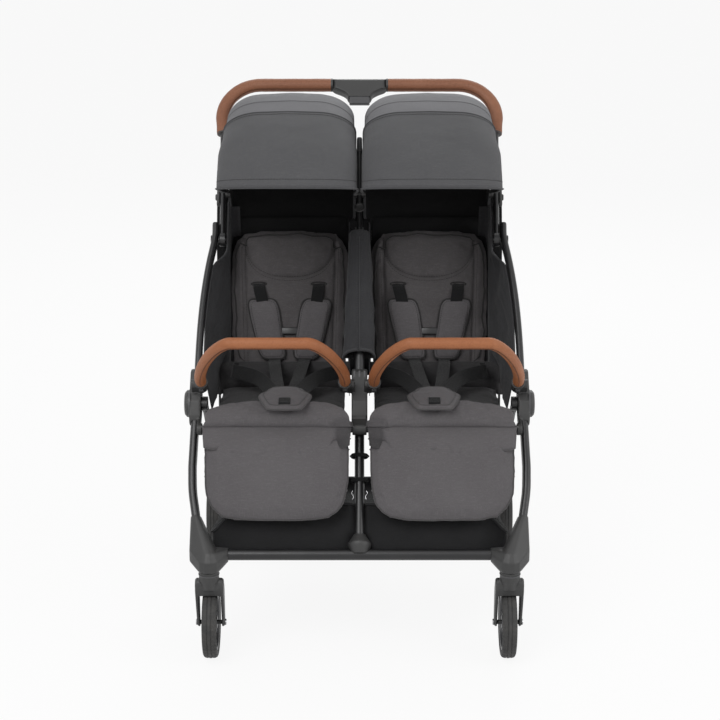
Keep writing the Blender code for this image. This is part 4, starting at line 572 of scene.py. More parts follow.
# Centre upright tube, the seats' two cross tubes and the folding rear frame: the same painted
# tube. The rear cross tube has a welded lug for the harness between the seats. The links between
# rear legs and seat are flat steel bars with open eyes.
SEAT_PIN = Vector((0.0, -0.173, 0.4385))
BACK_PIN = Vector((0.0, 0.080, 0.452))
LINK_PIN = Vector((0.0, 0.060, 0.280))
REAR_AXLE = Vector((0.0, 0.240, 0.0825))
REAR_LEG_X, REAR_FOOT_X = 0.3218, 0.3090

shape = bmesh.new()
run_along(shape, [on_tube(0.052), on_tube(TUBE_LONG - 0.0250)], centre_section, X_AXIS)
place(finished("centre_upright_tube", shape, satin_black), "frame", slot="black_tube")
place(moulded("centre_tube", "centre_upright_fork", satin_black, 0.0012, 2, 50.0), "frame",
      "centre_tube", slot="black_tube")

reach = HINGE_X - 0.0085
shape = bmesh.new()
turn_round(shape, [(-reach, 0.0058), (-reach + 0.0012, 0.0070), (reach - 0.0012, 0.0070),
                   (reach, 0.0058)], SEAT_PIN, X_AXIS, 36)
place(finished("front_seat_tube_painted", shape, satin_black), "frame", "front_seat_tube",
      slot="black_tube")
place(moulded("rear_seat_tube", "rear_seat_tube_painted", satin_black, 0.0010, 2, 50.0),
      "back_carrier", "rear_seat_tube", slot="black_tube")


def rear_leg_x(spot):
    return REAR_LEG_X + (REAR_FOOT_X - REAR_LEG_X) * (HINGE.z - spot.z) / (HINGE.z - REAR_AXLE.z)


rear_down = (REAR_AXLE - HINGE).normalized()
rear_section = oval(0.0063, 0.0120, 2.6)
for side_name, side in SIDES.items():
    shape = bmesh.new()
    ends = HINGE + rear_down * 0.004, REAR_AXLE - rear_down * 0.004
    run_along(shape, [across(side * rear_leg_x(p), p) for p in ends], rear_section, X_AXIS)
    turn_round(shape, [(-0.0063, 0.0066), (-0.0063, 0.0142), (-0.0056, 0.0150), (0.0056, 0.0150),
                       (0.0063, 0.0142), (0.0063, 0.0066)],
               across(side * REAR_LEG_X, HINGE), X_AXIS, 40, ring=True)
    turn_round(shape, [(-0.0200 * side, 0.0040), (0.0, 0.0040)],
               across(side * rear_leg_x(LINK_PIN), LINK_PIN), X_AXIS, 24)
    place(finished("rear_leg_tube_" + side_name, shape, satin_black), "rear_frame",
          "rear_leg_" + side_name, slot="black_tube")
    shape = bmesh.new()
    turn_round(shape, [(-0.0085, 0.0060), (-0.0085, 0.0165), (-0.0072, 0.0177), (0.0072, 0.0177),
                       (0.0085, 0.0165), (0.0085, 0.0060)],
               across(side * REAR_FOOT_X, REAR_AXLE), X_AXIS, 44, ring=True)
    boot_top = REAR_AXLE - rear_down * 0.046
    run_along(shape, [across(side * rear_leg_x(p), p) for p in
                      (boot_top, REAR_AXLE - rear_down * 0.010)], oval(0.0078, 0.0136, 2.6), X_AXIS)
    place(finished("rear_leg_boot_" + side_name, shape, black_moulding), "rear_frame",
          slot="black_plastic")
    shape = bmesh.new()
    link_x = side * 0.3053
    link_up = (BACK_PIN - LINK_PIN).normalized()
    run_along(shape, [across(link_x, LINK_PIN + link_up * 0.0060),
                      across(link_x, BACK_PIN - link_up * 0.0190)],
              oval(0.0026, 0.0070, 4.0, 24), X_AXIS)
    turn_round(shape, [(-0.0028, 0.0172), (-0.0028, 0.0200), (-0.0020, 0.0205), (0.0020, 0.0205),
                       (0.0028, 0.0200), (0.0028, 0.0172)], across(link_x, BACK_PIN), X_AXIS, 48,
               ring=True)
    turn_round(shape, [(-0.0028, 0.0043), (-0.0028, 0.0094), (-0.0020, 0.0100), (0.0020, 0.0100),
                       (0.0028, 0.0094), (0.0028, 0.0043)], across(link_x, LINK_PIN), X_AXIS, 32,
               ring=True)
    place(finished("seat_link_bar_" + side_name, shape, satin_black), "seat_links",
          "seat_link_" + side_name, slot="black_tube")

shape = bmesh.new()
shoulder, tip = REAR_FOOT_X - 0.0088, 0.3360 + 0.0145 + 0.002
turn_round(shape, [(-tip, 0.0036), (-tip + 0.0012, 0.0045), (-shoulder - 0.0006, 0.0045),
                   (-shoulder, 0.0098), (-shoulder + 0.0010, 0.0105), (shoulder - 0.0010, 0.0105),
                   (shoulder, 0.0098), (shoulder + 0.0006, 0.0045), (tip - 0.0012, 0.0045),
                   (tip, 0.0036)], REAR_AXLE, X_AXIS, 40)
place(finished("rear_axle_tube", shape, satin_black), "rear_frame", "rear_axle", slot="black_tube")
place(moulded("brake_pedal", "brake_pedal_moulding", grey_moulding, 0.0012, 4), "brake",
      "brake_pedal", slot="grey_plastic")
shape = bmesh.new()
tread_turn = Matrix.Translation(REAR_AXLE) @ Matrix.Rotation(math.radians(14.0), 4, "X")
for i in range(6):
    y = 0.019 + 0.0064 * i
    run_along(shape, [tread_turn @ Vector((-0.028, y, 0.0128)),
                      tread_turn @ Vector((0.028, y, 0.0128))],
              oval(0.0009, 0.0011, 2.0, 12), Vector((0.0, 0.0, 1.0)))
place(finished("brake_pedal_ribs", shape, black_moulding), "brake", slot="black_plastic")


# Front casters and wheels: nylon forks on steel stems, spoked grey wheels and soft moulded
# rubber tyres with a shallow ribbed tread and dusty flanks. The rear pair is larger.
CASTER_X, CASTER_Y, CASTER_TOP = 0.3030, -0.3460, 0.200
FRONT_AXLE = Vector((0.0, -0.3210, 0.0735))


def build_rubber_effect():
    """Rubber: fine pores and broad dusty smears."""
    group, given, made = new_group(
        "rubber_and_dust",
        [("Colour", "NodeSocketColor", None), ("Dust Colour", "NodeSocketColor", None),
         ("Dust Amount", "NodeSocketFloat", 0.35), ("Pore Scale", "NodeSocketFloat", 700.0)],
        [("Colour", "NodeSocketColor"), ("Roughness", "NodeSocketFloat"),
         ("Height", "NodeSocketFloat")])
    where = group.nodes.new("ShaderNodeTexCoord").outputs["Object"]
    pores = noise_at(group, where, given.outputs["Pore Scale"], 3.0, 0.6)
    smear = noise_at(group, where, 38.0, 5.0, 0.62)
    dust = maths(group, "MULTIPLY_ADD", smear, 2.2, -0.85, clamp=True)
    dust = maths(group, "MULTIPLY", dust, given.outputs["Dust Amount"])
    colour = mixed(group, dust, given.outputs["Colour"], given.outputs["Dust Colour"])
    rough = maths(group, "MULTIPLY_ADD", pores, 0.22, 0.62, clamp=True)
    group.links.new(colour, made.inputs["Colour"])
    group.links.new(rough, made.inputs["Roughness"])
    group.links.new(pores, made.inputs["Height"])
    return group


tyre_black, _ = surfaced(
    "tyre_black_rubber", build_rubber_effect(),
    {"Colour": (52, 52, 52), "Dust Colour": (112, 108, 103), "Dust Amount": 0.30}, 0.5, 0.0005)


def tyre_of(name, centre, radius, half, inner, treads):
    """A tyre whose tread is broken by shallow slots across its shoulders."""
    shape = bmesh.new()
    steps = treads * 4
    thick = radius - inner
    flank = [(-half * 0.84, inner), (-half * 0.93, inner + 0.0015),
             (-half, inner + thick * 0.42), (-half * 0.97, inner + thick * 0.64)]
    tread = [(-half * 0.86, radius - 0.0026), (-half * 0.66, radius - 0.0009),
             (-half * 0.36, radius - 0.0002), (-half * 0.30, radius - 0.0014),
             (-half * 0.22, radius - 0.0014), (-half * 0.16, radius)]
    profile = flank + tread
    profile += [(-along, r) for along, r in profile[::-1]]
    rings = []
    for i in range(steps):
        angle = 2.0 * math.pi * i / steps
        spoke = Vector((0.0, math.cos(angle), math.sin(angle)))
        slot_here = i % 4 == 0
        ring = []
        for along, r in profile:
            cut_in = 0.0014 if slot_here and half * 0.40 < abs(along) < half * 0.90 else 0.0
            ring.append(centre + X_AXIS * along + spoke * (r - cut_in))
        rings.append(ring)
    skin_rings(shape, rings, loop=True)
    return finished(name, shape, tyre_black, 30.0)


def wheel_of(name, centre, rim, half, material, spokes):
    """A moulded wheel: hub, rim and pairs of ribbed spokes between two thin webs."""
    shape = bmesh.new()
    turn_round(shape, [(-half, 0.0049), (-half, 0.0125), (-half + 0.0012, 0.0138),
                       (half - 0.0012, 0.0138), (half, 0.0125), (half, 0.0049)],
               centre, X_AXIS, 36, ring=True)
    turn_round(shape, [(-half, rim - 0.0062), (-half - 0.0004, rim - 0.0010), (-half * 0.92, rim),
                       (half * 0.92, rim), (half + 0.0004, rim - 0.0010), (half, rim - 0.0062),
                       (half * 0.78, rim - 0.0074), (-half * 0.78, rim - 0.0074)],
               centre, X_AXIS, 64, ring=True)
    turn_round(shape, [(-half * 0.16, 0.0130), (-half * 0.16, rim - 0.0066),
                       (half * 0.16, rim - 0.0066), (half * 0.16, 0.0130)],
               centre, X_AXIS, 64, ring=True)
    for i in range(spokes):
        angle = 2.0 * math.pi * i / spokes
        spoke = Vector((0.0, math.cos(angle), math.sin(angle)))
        run_along(shape, [centre + spoke * 0.0125, centre + spoke * (rim - 0.0068)],
                  oval(half * 0.72, 0.0022, 4.0, 20), X_AXIS)
    return finished(name, shape, material, 34.0)


TYRE_THICK, FRONT_HALF_W, REAR_HALF_W = 0.0150, 0.0150, 0.0145
FRONT_RADIUS, REAR_RADIUS, REAR_WHEEL_X, RIM_GAP = 0.0735, 0.0825, 0.3360, 0.0002
for side_name, side in SIDES.items():
    centre = across(side * CASTER_X, FRONT_AXLE)
    body = "front_wheel_" + side_name
    place(tyre_of("front_tyre_rubber_" + side_name, centre, FRONT_RADIUS, FRONT_HALF_W,
                  FRONT_RADIUS - TYRE_THICK, 44), body, "front_tyre_" + side_name,
          slot="tyre_rubber")
    place(wheel_of("front_wheel_spoked_" + side_name, centre, FRONT_RADIUS - TYRE_THICK - RIM_GAP,
                   FRONT_HALF_W - 0.0022, grey_moulding, 7), body, "front_wheel_" + side_name,
          slot="grey_plastic")
    place(moulded("caster_fork_" + side_name, "caster_moulding_" + side_name, black_moulding,
                  0.0011, 5), "caster_" + side_name, "caster_fork_" + side_name,
          slot="black_plastic")
    shape = bmesh.new()
    for s in (-1.0, 1.0):
        turn_round(shape, [(0.0286, 0.0062), (0.0298, 0.0066), (0.0310, 0.0060), (0.0314, 0.0040)],
                   centre, X_AXIS * s, 28)
    place(finished("caster_axle_nuts_" + side_name, shape, bright_steel),
          "caster_" + side_name, slot="black_tube")
    shape = bmesh.new()
    turn_round(shape, [(0.0, 0.0212), (0.0016, 0.0214), (0.0030, 0.0208)],
               Vector((side * CASTER_X, CASTER_Y, CASTER_TOP - 0.0062)), Vector((0.0, 0.0, -1.0)),
               48)
    place(finished("caster_neck_ring_" + side_name, shape, grey_moulding),
          "caster_" + side_name, slot="grey_plastic")
    centre = across(side * REAR_WHEEL_X, REAR_AXLE)
    body = "rear_wheel_" + side_name
    place(tyre_of("rear_tyre_rubber_" + side_name, centre, REAR_RADIUS, REAR_HALF_W,
                  REAR_RADIUS - TYRE_THICK, 50), body, "rear_wheel_" + side_name,
          slot="tyre_rubber")
    place(wheel_of("rear_wheel_spoked_" + side_name, centre, REAR_RADIUS - TYRE_THICK - RIM_GAP,
                   REAR_HALF_W - 0.0026, grey_moulding, 8), body, slot="grey_plastic")


# Storage basket: coated polyester cloth cut in one bag, its front wall tied up behind the cross
# tube, its edge bound with tape. It hangs slack, so its walls ripple and its floor dips.
def build_weave_effect():
    """Woven cloth: crossing threads, a marl of lighter fibres, faded patches and lint."""
    group, given, made = new_group(
        "woven_cloth",
        [("Colour", "NodeSocketColor", None), ("Fibre Colour", "NodeSocketColor", None),
         ("Threads", "NodeSocketFloat", 900.0), ("Marl", "NodeSocketFloat", 0.5),
         ("Fading", "NodeSocketFloat", 0.25)],
        [("Colour", "NodeSocketColor"), ("Roughness", "NodeSocketFloat"),
         ("Height", "NodeSocketFloat")])
    where = group.nodes.new("ShaderNodeTexCoord").outputs["Object"]
    axes = group.nodes.new("ShaderNodeSeparateXYZ")
    group.links.new(where, axes.inputs[0])
    half_y = maths(group, "MULTIPLY", axes.outputs["Y"], 0.7)
    u = maths(group, "MULTIPLY", maths(group, "ADD", axes.outputs["X"], half_y),
              given.outputs["Threads"])
    v = maths(group, "MULTIPLY", maths(group, "ADD", axes.outputs["Z"], half_y),
              given.outputs["Threads"])
    warp = maths(group, "SINE", maths(group, "MULTIPLY", u, math.pi))
    weft = maths(group, "SINE", maths(group, "MULTIPLY", v, math.pi))
    over = maths(group, "GREATER_THAN", maths(group, "MULTIPLY", warp, weft), 0.0)
    warp_high = maths(group, "ABSOLUTE", warp)
    weft_high = maths(group, "ABSOLUTE", weft)
    height = maths(group, "ADD", maths(group, "MULTIPLY", over, warp_high),
                   maths(group, "MULTIPLY", maths(group, "SUBTRACT", 1.0, over), weft_high))
    streaks = []
    for squeeze in ((0.12, 1.0, 1.0), (1.0, 1.0, 0.12)):
        stretch = group.nodes.new("ShaderNodeVectorMath")
        stretch.operation = "MULTIPLY"
        group.links.new(where, stretch.inputs[0])
        stretch.inputs[1].default_value = squeeze
        streaks.append(noise_at(group, stretch.outputs[0], 620.0, 2.0, 0.6))
    marl = maths(group, "MULTIPLY_ADD", maths(group, "MAXIMUM", streaks[0], streaks[1]), 3.6, -1.9,
                 clamp=True)
    marl = maths(group, "MULTIPLY", marl, given.outputs["Marl"])
    fade = noise_at(group, where, 7.0, 4.0, 0.6)
    fade = maths(group, "MULTIPLY", maths(group, "MULTIPLY_ADD", fade, 2.4, -0.95, clamp=True),
                 given.outputs["Fading"])
    share = maths(group, "ADD", marl, fade, clamp=True)
    colour = mixed(group, share, given.outputs["Colour"], given.outputs["Fibre Colour"])
    # Painted shade between the threads and a faint painted highlight on their tops: the colour is
    # scaled by the weave's height.
    low = group.nodes.new("ShaderNodeMix")
    low.data_type = "RGBA"
    low.blend_type = "MULTIPLY"
    low.inputs[0].default_value = 0.35
    group.links.new(colour, low.inputs[6])
    thread_shade = group.nodes.new("ShaderNodeCombineColor")
    for channel in thread_shade.inputs[:3]:
        group.links.new(maths(group, "MULTIPLY_ADD", height, 0.6, 0.5), channel)
    group.links.new(thread_shade.outputs[0], low.inputs[7])
    group.links.new(low.outputs[2], made.inputs["Colour"])
    group.links.new(maths(group, "MULTIPLY_ADD", height, -0.12, 0.92), made.inputs["Roughness"])
    group.links.new(maths(group, "ADD", height, maths(group, "MULTIPLY", marl, 0.5)),
                    made.inputs["Height"])
    return group


weave_effect = build_weave_effect()


def woven(name, colour, fibre, threads, marl, fading, sheen, bump=0.5):
    """A cloth from the weave effect, by the values it is given."""
    material, shader = surfaced(
        name, weave_effect, {"Colour": colour, "Fibre Colour": fibre, "Threads": threads,
                             "Marl": marl, "Fading": fading}, bump)
    shader.inputs["Sheen Weight"].default_value = sheen
    shader.inputs["Sheen Roughness"].default_value = 0.5
    shader.inputs["Specular IOR Level"].default_value = 0.25
    return material


basket_cloth = woven("basket_cloth", (25, 25, 26), (44, 44, 46), 700.0, 0.35, 0.3, 0.05)
binding_tape = woven("binding_tape", (38, 38, 39), (66, 66, 68), 1300.0, 0.4, 0.2, 0.08)
webbing = woven("black_webbing", (19, 19, 20), (36, 36, 38), 620.0, 0.35, 0.2, 0.1, 0.9)

BASKET_FRONT_Y, BASKET_BACK_Y = CROSSBAR.y + 0.0114, 0.184
# Outline from the front's middle round a side: y, x, the top edge's height, the height of the
# walls' foot and how far the top leans back.
BASKET_PLAN = ((BASKET_FRONT_Y, 0.0, 0.308, 0.224, 0.050),
               (BASKET_FRONT_Y, 0.246, 0.308, 0.224, 0.050),
               (BASKET_FRONT_Y + 0.026, 0.304, 0.250, 0.222, 0.004),
               (BASKET_FRONT_Y + 0.110, 0.2915, 0.246, 0.217, 0.0),
               (-0.030, 0.2915, 0.226, 0.206, 0.0),
               (0.155, 0.2915, 0.194, 0.186, 0.0), (BASKET_BACK_Y, 0.278, 0.192, 0.184, 0.0),
               (BASKET_BACK_Y, 0.0, 0.192, 0.184, 0.0))


def resample(points, count, loop=False):
    """Evenly spaced points along a line of points of any length."""
    points = [np.array(p, dtype=float) for p in points]
    if loop:
        points.append(points[0])
    lengths = [0.0]
    for a, b in zip(points, points[1:]):
        lengths.append(lengths[-1] + float(np.linalg.norm((b - a)[:3])))
    made = []
    last = count if loop else count - 1
    for i in range(count):
        at = lengths[-1] * i / last
        k = min(max(int(np.searchsorted(lengths, at)) - 1, 0), len(points) - 2)
        share = (at - lengths[k]) / max(lengths[k + 1] - lengths[k], 1e-9)
        made.append(points[k] + (points[k + 1] - points[k]) * share)
    return made


def rounded_loop(points, rounds):
    """A closed line with its corners eased by averaging neighbours."""
    for _ in range(rounds):
        points = [(points[i - 1] + points[i] * 2.0 + points[(i + 1) % len(points)]) / 4.0
                  for i in range(len(points))]
    return points


def leave_room(point, radius, start, end, away):
    """Moves a point away from a round bar until it clears it."""
    axis = (end - start).normalized()
    along = (point - start).dot(axis)
    if not 0.0 <= along <= (end - start).length or abs(point.x) >= radius:
        return point
    off = (point - start - axis * along).dot(away)
    need = math.sqrt(radius * radius - point.x * point.x)
    return point + away * max(0.0, need - off)


half_plan = [(x, y, top, foot, lean) for y, x, top, foot, lean in BASKET_PLAN]
whole_plan = half_plan + [(-x, y, top, foot, lean) for x, y, top, foot, lean in half_plan[-2:0:-1]]
plan = rounded_loop(resample(whole_plan, 260, loop=True), 4)
basket_middle = Vector((0.0, (BASKET_FRONT_Y + BASKET_BACK_Y) / 2.0, 0.0))
leg_behind = Vector((0.0, -LEG_DIR.z, LEG_DIR.y)) * -1.0
if leg_behind.y < 0.0:
    leg_behind = -leg_behind
levels = []
for k in range(12):
    share = k / 11.0
    ring = []
    for i, (x, y, top, foot, lean) in enumerate(plan):
        z = top + (foot - top) * share
        ripple = 0.0016 * math.sin(i * 0.55 + 2.0 * share) * math.sin(math.pi * share) ** 0.5
        ripple += 0.0030 * noise.noise(Vector((x * 9.0, y * 9.0, z * 12.0)))
        spot = Vector((x, y + lean * (1.0 - share), z))
        towards = (basket_middle - spot)
        towards.z = 0.0
        spot += towards.normalized() * (0.002 + ripple)
        spot = leave_room(spot, 0.0128, on_leg(0.34), on_leg(0.09), leg_behind)
        spot = leave_room(spot, 0.0262, foot_base - LEG_DIR * 0.02, foot_base + LEG_DIR * 0.044,
                          leg_behind)
        ring.append(spot)
    levels.append(ring)
for draw in (0.015, 0.04, 0.10, 0.20, 0.32, 0.44, 0.56, 0.68, 0.80, 0.90, 0.97):
    ring = []
    for x, y, top, foot, lean in plan:
        back = (y - BASKET_FRONT_Y) / (BASKET_BACK_Y - BASKET_FRONT_Y)
        ring_floor = 0.198 + (0.166 - 0.198) * back + 0.004
        z = foot + (ring_floor - foot) * min(1.0, draw / 0.10) ** 0.6
        spot = Vector((x, y, z))
        flat = spot.lerp(Vector((0.0, basket_middle.y, ring_floor - 0.0005)), draw)
        flat.z += 0.0024 * noise.noise(Vector((flat.x * 11.0, flat.y * 11.0, 3.0)))
        ring.append(flat)
    levels.append(ring)
shape = bmesh.new()
made_rings = [[shape.verts.new(p) for p in ring] for ring in levels]
for first, second in zip(made_rings, made_rings[1:]):
    for i in range(len(first)):
        j = (i + 1) % len(first)
        shape.faces.new((first[i], first[j], second[j], second[i]))
shape.faces.new(made_rings[-1])
basket = finished("basket_bag", shape, basket_cloth, 0.0)
skin = basket.modifiers.new("cloth_thickness", "SOLIDIFY")
skin.thickness = 0.0016
skin.offset = 0.0
settle(basket)
place(basket, "frame", "basket", slot="dark_cloth")

shape = bmesh.new()
run_along(shape, levels[0], oval(0.0022, 0.0046, 3.0, 12), Vector((0.0, 0.0, 1.0)), loop=True)
place(finished("basket_edge_binding", shape, binding_tape), "frame", slot="dark_cloth")

shape = bmesh.new()
for d in (0.115, 0.168):
    middle = on_leg(d)
    loop_path = [across(0.0, middle) + X_AXIS * (0.0165 * math.cos(a)) + leg_behind
                 * (0.0108 * math.sin(a)) for a in [2.0 * math.pi * i / 40 for i in range(40)]]
    run_along(shape, loop_path, oval(0.0006, 0.0042, 4.0, 12), LEG_DIR.cross(X_AXIS).normalized(),
              loop=True)
place(finished("leg_rest_elastic_loops", shape, webbing), "frame", slot="dark_cloth")
shape = bmesh.new()
for s in (-1.0, 1.0):
    hook_top = across(s * 0.0140, on_leg(0.190))
    hook = [hook_top + Vector((s * 0.0020 * math.sin(a * 2.0), 0.0, 0.0)) - LEG_DIR * (0.0055 * a)
            for a in [i * 0.25 for i in range(14)]]
    run_along(shape, hook, oval(0.0011, 0.0011, 2.0, 10), X_AXIS)
place(finished("basket_hooks", shape, bright_steel), "frame", slot="black_tube")


# Seat cushions and leg rests: foam and fibre fill in grey marl cloth. The cloth is blown out by
# its fill, so it is simulated; the sewn creases and the piped rim are laid on afterwards.
seat_marl = woven("seat_marl_cloth", (94, 91, 93), (126, 124, 125), 900.0, 0.40, 0.16, 0.12)
# The darker seat cloth is painted shade: it covers the seat's top behind the front roll and the
# sheet at each seat's back.
seat_shade_cloth = woven("seat_painted_shade_cloth", (52, 51, 52), (80, 79, 80), 900.0, 0.40, 0.16, 0.08)
piping_grey = woven("piping_grey", (78, 76, 77), (112, 110, 110), 1500.0, 0.4, 0.15, 0.15)
stitch_grey = woven("stitch_grey", (60, 59, 60), (96, 95, 95), 2200.0, 0.5, 0.1, 0.1)


def direction(degrees):
    """The side view's direction at this angle: 0 points to the back and 90 up."""
    angle = math.radians(degrees)
    return Vector((0.0, math.cos(angle), math.sin(angle)))


def grid_of(mesh):
    """A mesh's vertex places and normals as arrays."""
    places = np.empty(len(mesh.vertices) * 3)
    mesh.vertices.foreach_get("co", places)
    normals = np.empty(len(mesh.vertices) * 3)
    mesh.vertices.foreach_get("normal", normals)
    return places.reshape(-1, 3), normals.reshape(-1, 3)


def put_places(mesh, places):
    mesh.vertices.foreach_set("co", places.reshape(-1))
    mesh.update()


def stuffed(node, name, material, shrink=0.0030, most=0.006, pressure=4.0, voxel=0.0050,
            tension=12.0):
    """A pad over the frame node's shape, blown out as its fill would."""
    piece = frame_copy(node, name)
    layer = piece.modifiers.new("skin", "REMESH")
    layer.mode = "VOXEL"
    layer.voxel_size = voxel
    settle(piece)
    places, normals = grid_of(piece.data)
    put_places(piece.data, places - normals * shrink)
    start, _ = grid_of(piece.data)
    cloth = piece.modifiers.new("fill", "CLOTH")
    cloth.settings.quality = 4
    cloth.settings.mass = 0.25
    cloth.settings.tension_stiffness = tension
    cloth.settings.compression_stiffness = tension
    cloth.settings.shear_stiffness = tension * 0.5
    cloth.settings.bending_stiffness = 0.8
    cloth.settings.use_pressure = True
    cloth.settings.uniform_pressure_force = pressure
    cloth.settings.effector_weights.gravity = 0.0
    cloth.point_cache.frame_start, cloth.point_cache.frame_end = 1, 20
    for step in range(1, 21):
        bpy.context.scene.frame_set(step)
        bpy.context.view_layer.update()
    seen = piece.evaluated_get(bpy.context.evaluated_depsgraph_get())
    blown = np.empty(len(piece.data.vertices) * 3)
    seen.data.vertices.foreach_get("co", blown)
    move = blown.reshape(-1, 3) - start
    length = np.linalg.norm(move, axis=1, keepdims=True)
    move *= np.minimum(1.0, most / np.maximum(length, 1e-9))
    piece.modifiers.clear()
    bpy.context.scene.frame_set(1)
    put_places(piece.data, start + move)
    finer = piece.modifiers.new("finer", "SUBSURF")
    finer.levels = finer.render_levels = 1
    settle(piece)
    piece.data.shade_smooth()
    piece.data.materials.append(material)
    return piece


def mirrored(piece, name):
    """The same pad for the other side of the chair."""
    mesh = piece.data.copy()
    mesh.transform(Matrix.Scale(-1.0, 4, (1.0, 0.0, 0.0)))
    mesh.flip_normals()
    other = bpy.data.objects.new(name, mesh)
    bpy.context.scene.collection.objects.link(other)
    return other


def line_distance(points, line):
    """Distance of many 2-D points from a line of 2-D points."""
    line = np.array(line, dtype=float)
    best = np.full(len(points), 1e9)
    for a, b in zip(line, line[1:]):
        step = b - a
        share = np.clip(((points - a) @ step) / max(float(step @ step), 1e-12), 0.0, 1.0)
        best = np.minimum(best, np.linalg.norm(points - a - share[:, None] * step, axis=1))
    return best


def press(piece, origin, along, out, line, width, depth, side_limit=0.2):
    """Draws a sewn seam into the face of a pad, along a line of (x, distance along) points."""
    places, normals = grid_of(piece.data)
    flat = np.stack([places[:, 0], (places - np.array(origin)) @ np.array(along)], axis=1)
    facing = np.clip((normals @ np.array(out) - side_limit) / 0.3, 0.0, 1.0)
    dip = depth * np.exp(-(line_distance(flat, line) / width) ** 2) * facing
    put_places(piece.data, places - normals * dip[:, None])


def crumple(piece, amount, scale, seed, region=None):
    """Soft random wrinkles over a pad; region(place) gives how strong they are."""
    places, normals = grid_of(piece.data)
    for i, spot in enumerate(places):
        strength = region(spot) if region else 1.0
        if strength <= 0.0:
            continue
        value = noise.fractal(Vector(spot) * scale + Vector((seed, 0.0, 0.0)), 0.8, 2.1, 3)
        places[i] = spot + normals[i] * value * amount * strength
    put_places(piece.data, places)


def surface_of(*pieces):
    """What a line is laid on: the faces of these pieces."""
    corners, faces = [], []
    for piece in pieces:
        first = len(corners)
        corners += [v.co.copy() for v in piece.data.vertices]
        faces += [[first + i for i in face.vertices] for face in piece.data.polygons]
    return BVHTree.FromPolygons(corners, faces)


def laid_on(tree, points, look):
    """Each point moved along look until it meets the surface, with the normal there."""
    made = []
    for point in points:
        hit, normal, _, _ = tree.ray_cast(point - look * 0.25, look)
        if hit is None:
            hit, normal, _, _ = tree.find_nearest(point)
        if normal.dot(look) > 0.0:
            normal = -normal
        made.append((hit, normal))
    return made


def cord_on(shape, spots, radius, rise, loop=False, sides=8):
    """A thin cord along laid points, standing off them by rise."""
    path = [hit + normal * rise for hit, normal in spots]
    run_along(shape, path, oval(radius, radius, 2.0, sides), Vector((0.0, -0.6, 0.8)), loop=loop)


def stitches_on(shape, spots, long, gap, radius=0.0006):
    """Single stitches along laid points."""
    path = [hit + normal * radius * 0.4 for hit, normal in spots]
    count = max(2, int(sum((b - a).length for a, b in zip(path, path[1:])) / (long + gap)))
    ends = resample([tuple(p) for p in path], count * 2)
    for a, b in zip(ends[::2], ends[1::2]):
        a, b = Vector(a), Vector(b)
        stop = a + (b - a).normalized() * long
        run_along(shape, [a, stop], oval(radius, radius, 2.0, 6), Vector((0.1, -0.7, 0.7)))


def rim_rays(reach, first, step, count, corner):
    """Places and ways out round a pad's edge: up a side, round the corner and half across, then
    the same on the other side."""
    rays = [(-reach, first + step * i, -1.0, 0.0) for i in range(count)]
    rays += [(-reach, corner, -math.cos(a), math.sin(a)) for a in
             [math.pi * 0.5 * i / 14.0 for i in range(1, 14)]]
    rays += [(-reach * (1.0 - 0.2 * i), corner, 0.0, 1.0) for i in range(6)]
    return rays + [(-x, d, -go_x, go_d) for x, d, go_x, go_d in rays[-2::-1]]


def pad_piping(name, face, rays, core_at, along, material):
    """Piping on a pad's outline, where rays that come in from outside meet it."""
    spots = []
    for x, d, go_x, go_d in rays:
        away = X_AXIS * go_x + along * go_d
        hit, normal, _, _ = face.ray_cast(core_at(x, d) + away * 0.2, -away)
        if hit is not None:
            spots.append((hit, normal))
    shape = bmesh.new()
    cord_on(shape, spots, 0.0017, 0.0008)
    return finished(name, shape, material)


def cloth_grid(name, grid, thickness, materials, offset=0.0):
    """An open sheet from rows of points, thickened; its far side may have a second cloth."""
    shape = bmesh.new()
    rows = [[shape.verts.new(p) for p in line] for line in grid]
    for a, b in zip(rows, rows[1:]):
        for k in range(len(a) - 1):
            shape.faces.new((a[k], a[k + 1], b[k + 1], b[k]))
    mesh = bpy.data.meshes.new(name)
    shape.to_mesh(mesh)
    shape.free()
    mesh.shade_smooth()
    for material in materials:
        mesh.materials.append(material)
    piece = bpy.data.objects.new(name, mesh)
    bpy.context.scene.collection.objects.link(piece)
    skin = piece.modifiers.new("cloth_thickness", "SOLIDIFY")
    skin.thickness = thickness
    skin.offset = offset
    if len(materials) > 1:
        skin.material_offset = 1
    settle(piece)
    return piece


CALF_PIN = Vector((0.0, -0.217, 0.462))
CALF_ALONG, CALF_OUT = direction(239.4), direction(149.4)
SEAT_MIDDLE_X = (0.026 + 0.300) / 2.0
SEAT_INSERT_Y, SEAT_ROLL_Y, SEAT_SEAM_Y, SEAT_SEAM_HALF = -0.176, -0.200, -0.118, 0.118
LEG_REST_OUTER_X, LEG_REST_INNER_X, LEG_REST_CORNER = 0.3240, 0.0130, 0.131
KNEE_CORE = Vector((0.0, -0.205, 0.455))
FOLD_FROM, FOLD_STEP, FOLD_ROWS, FOLD_COLUMNS = 98.0, 4.4, 31, 53
FOLD_INNER_X, FOLD_WIDE, FOLD_HALF = 0.0120, 0.3130, 0.1565
seat_left = stuffed("seat_base_left", "seat_cushion_left", seat_marl, 0.0012, 0.0050)
leg_left = stuffed("leg_rest_left", "leg_rest_pad_left", seat_marl, -0.0006, 0.0050, 5.0)
leg_rest_middle = (LEG_REST_OUTER_X + LEG_REST_INNER_X) / 2.0
leg_rest_half = (LEG_REST_OUTER_X - LEG_REST_INNER_X) / 2.0
press(leg_left, CALF_PIN, CALF_ALONG, CALF_OUT,
      [(-leg_rest_middle + leg_rest_half * s, 0.019 + 0.004 * math.cos(s * 3.0)) for s in
       [-0.95 + 0.1 * i for i in range(20)]], 0.0055, 0.0030)


def near_leg_top(spot):
    down = (Vector(spot) - CALF_PIN).dot(CALF_ALONG)
    return max(0.0, 1.0 - abs(down - 0.02) / 0.05)


def near_seat_front(spot):
    return max(0.0, min(1.0, (-0.09 - spot[1]) / 0.06))


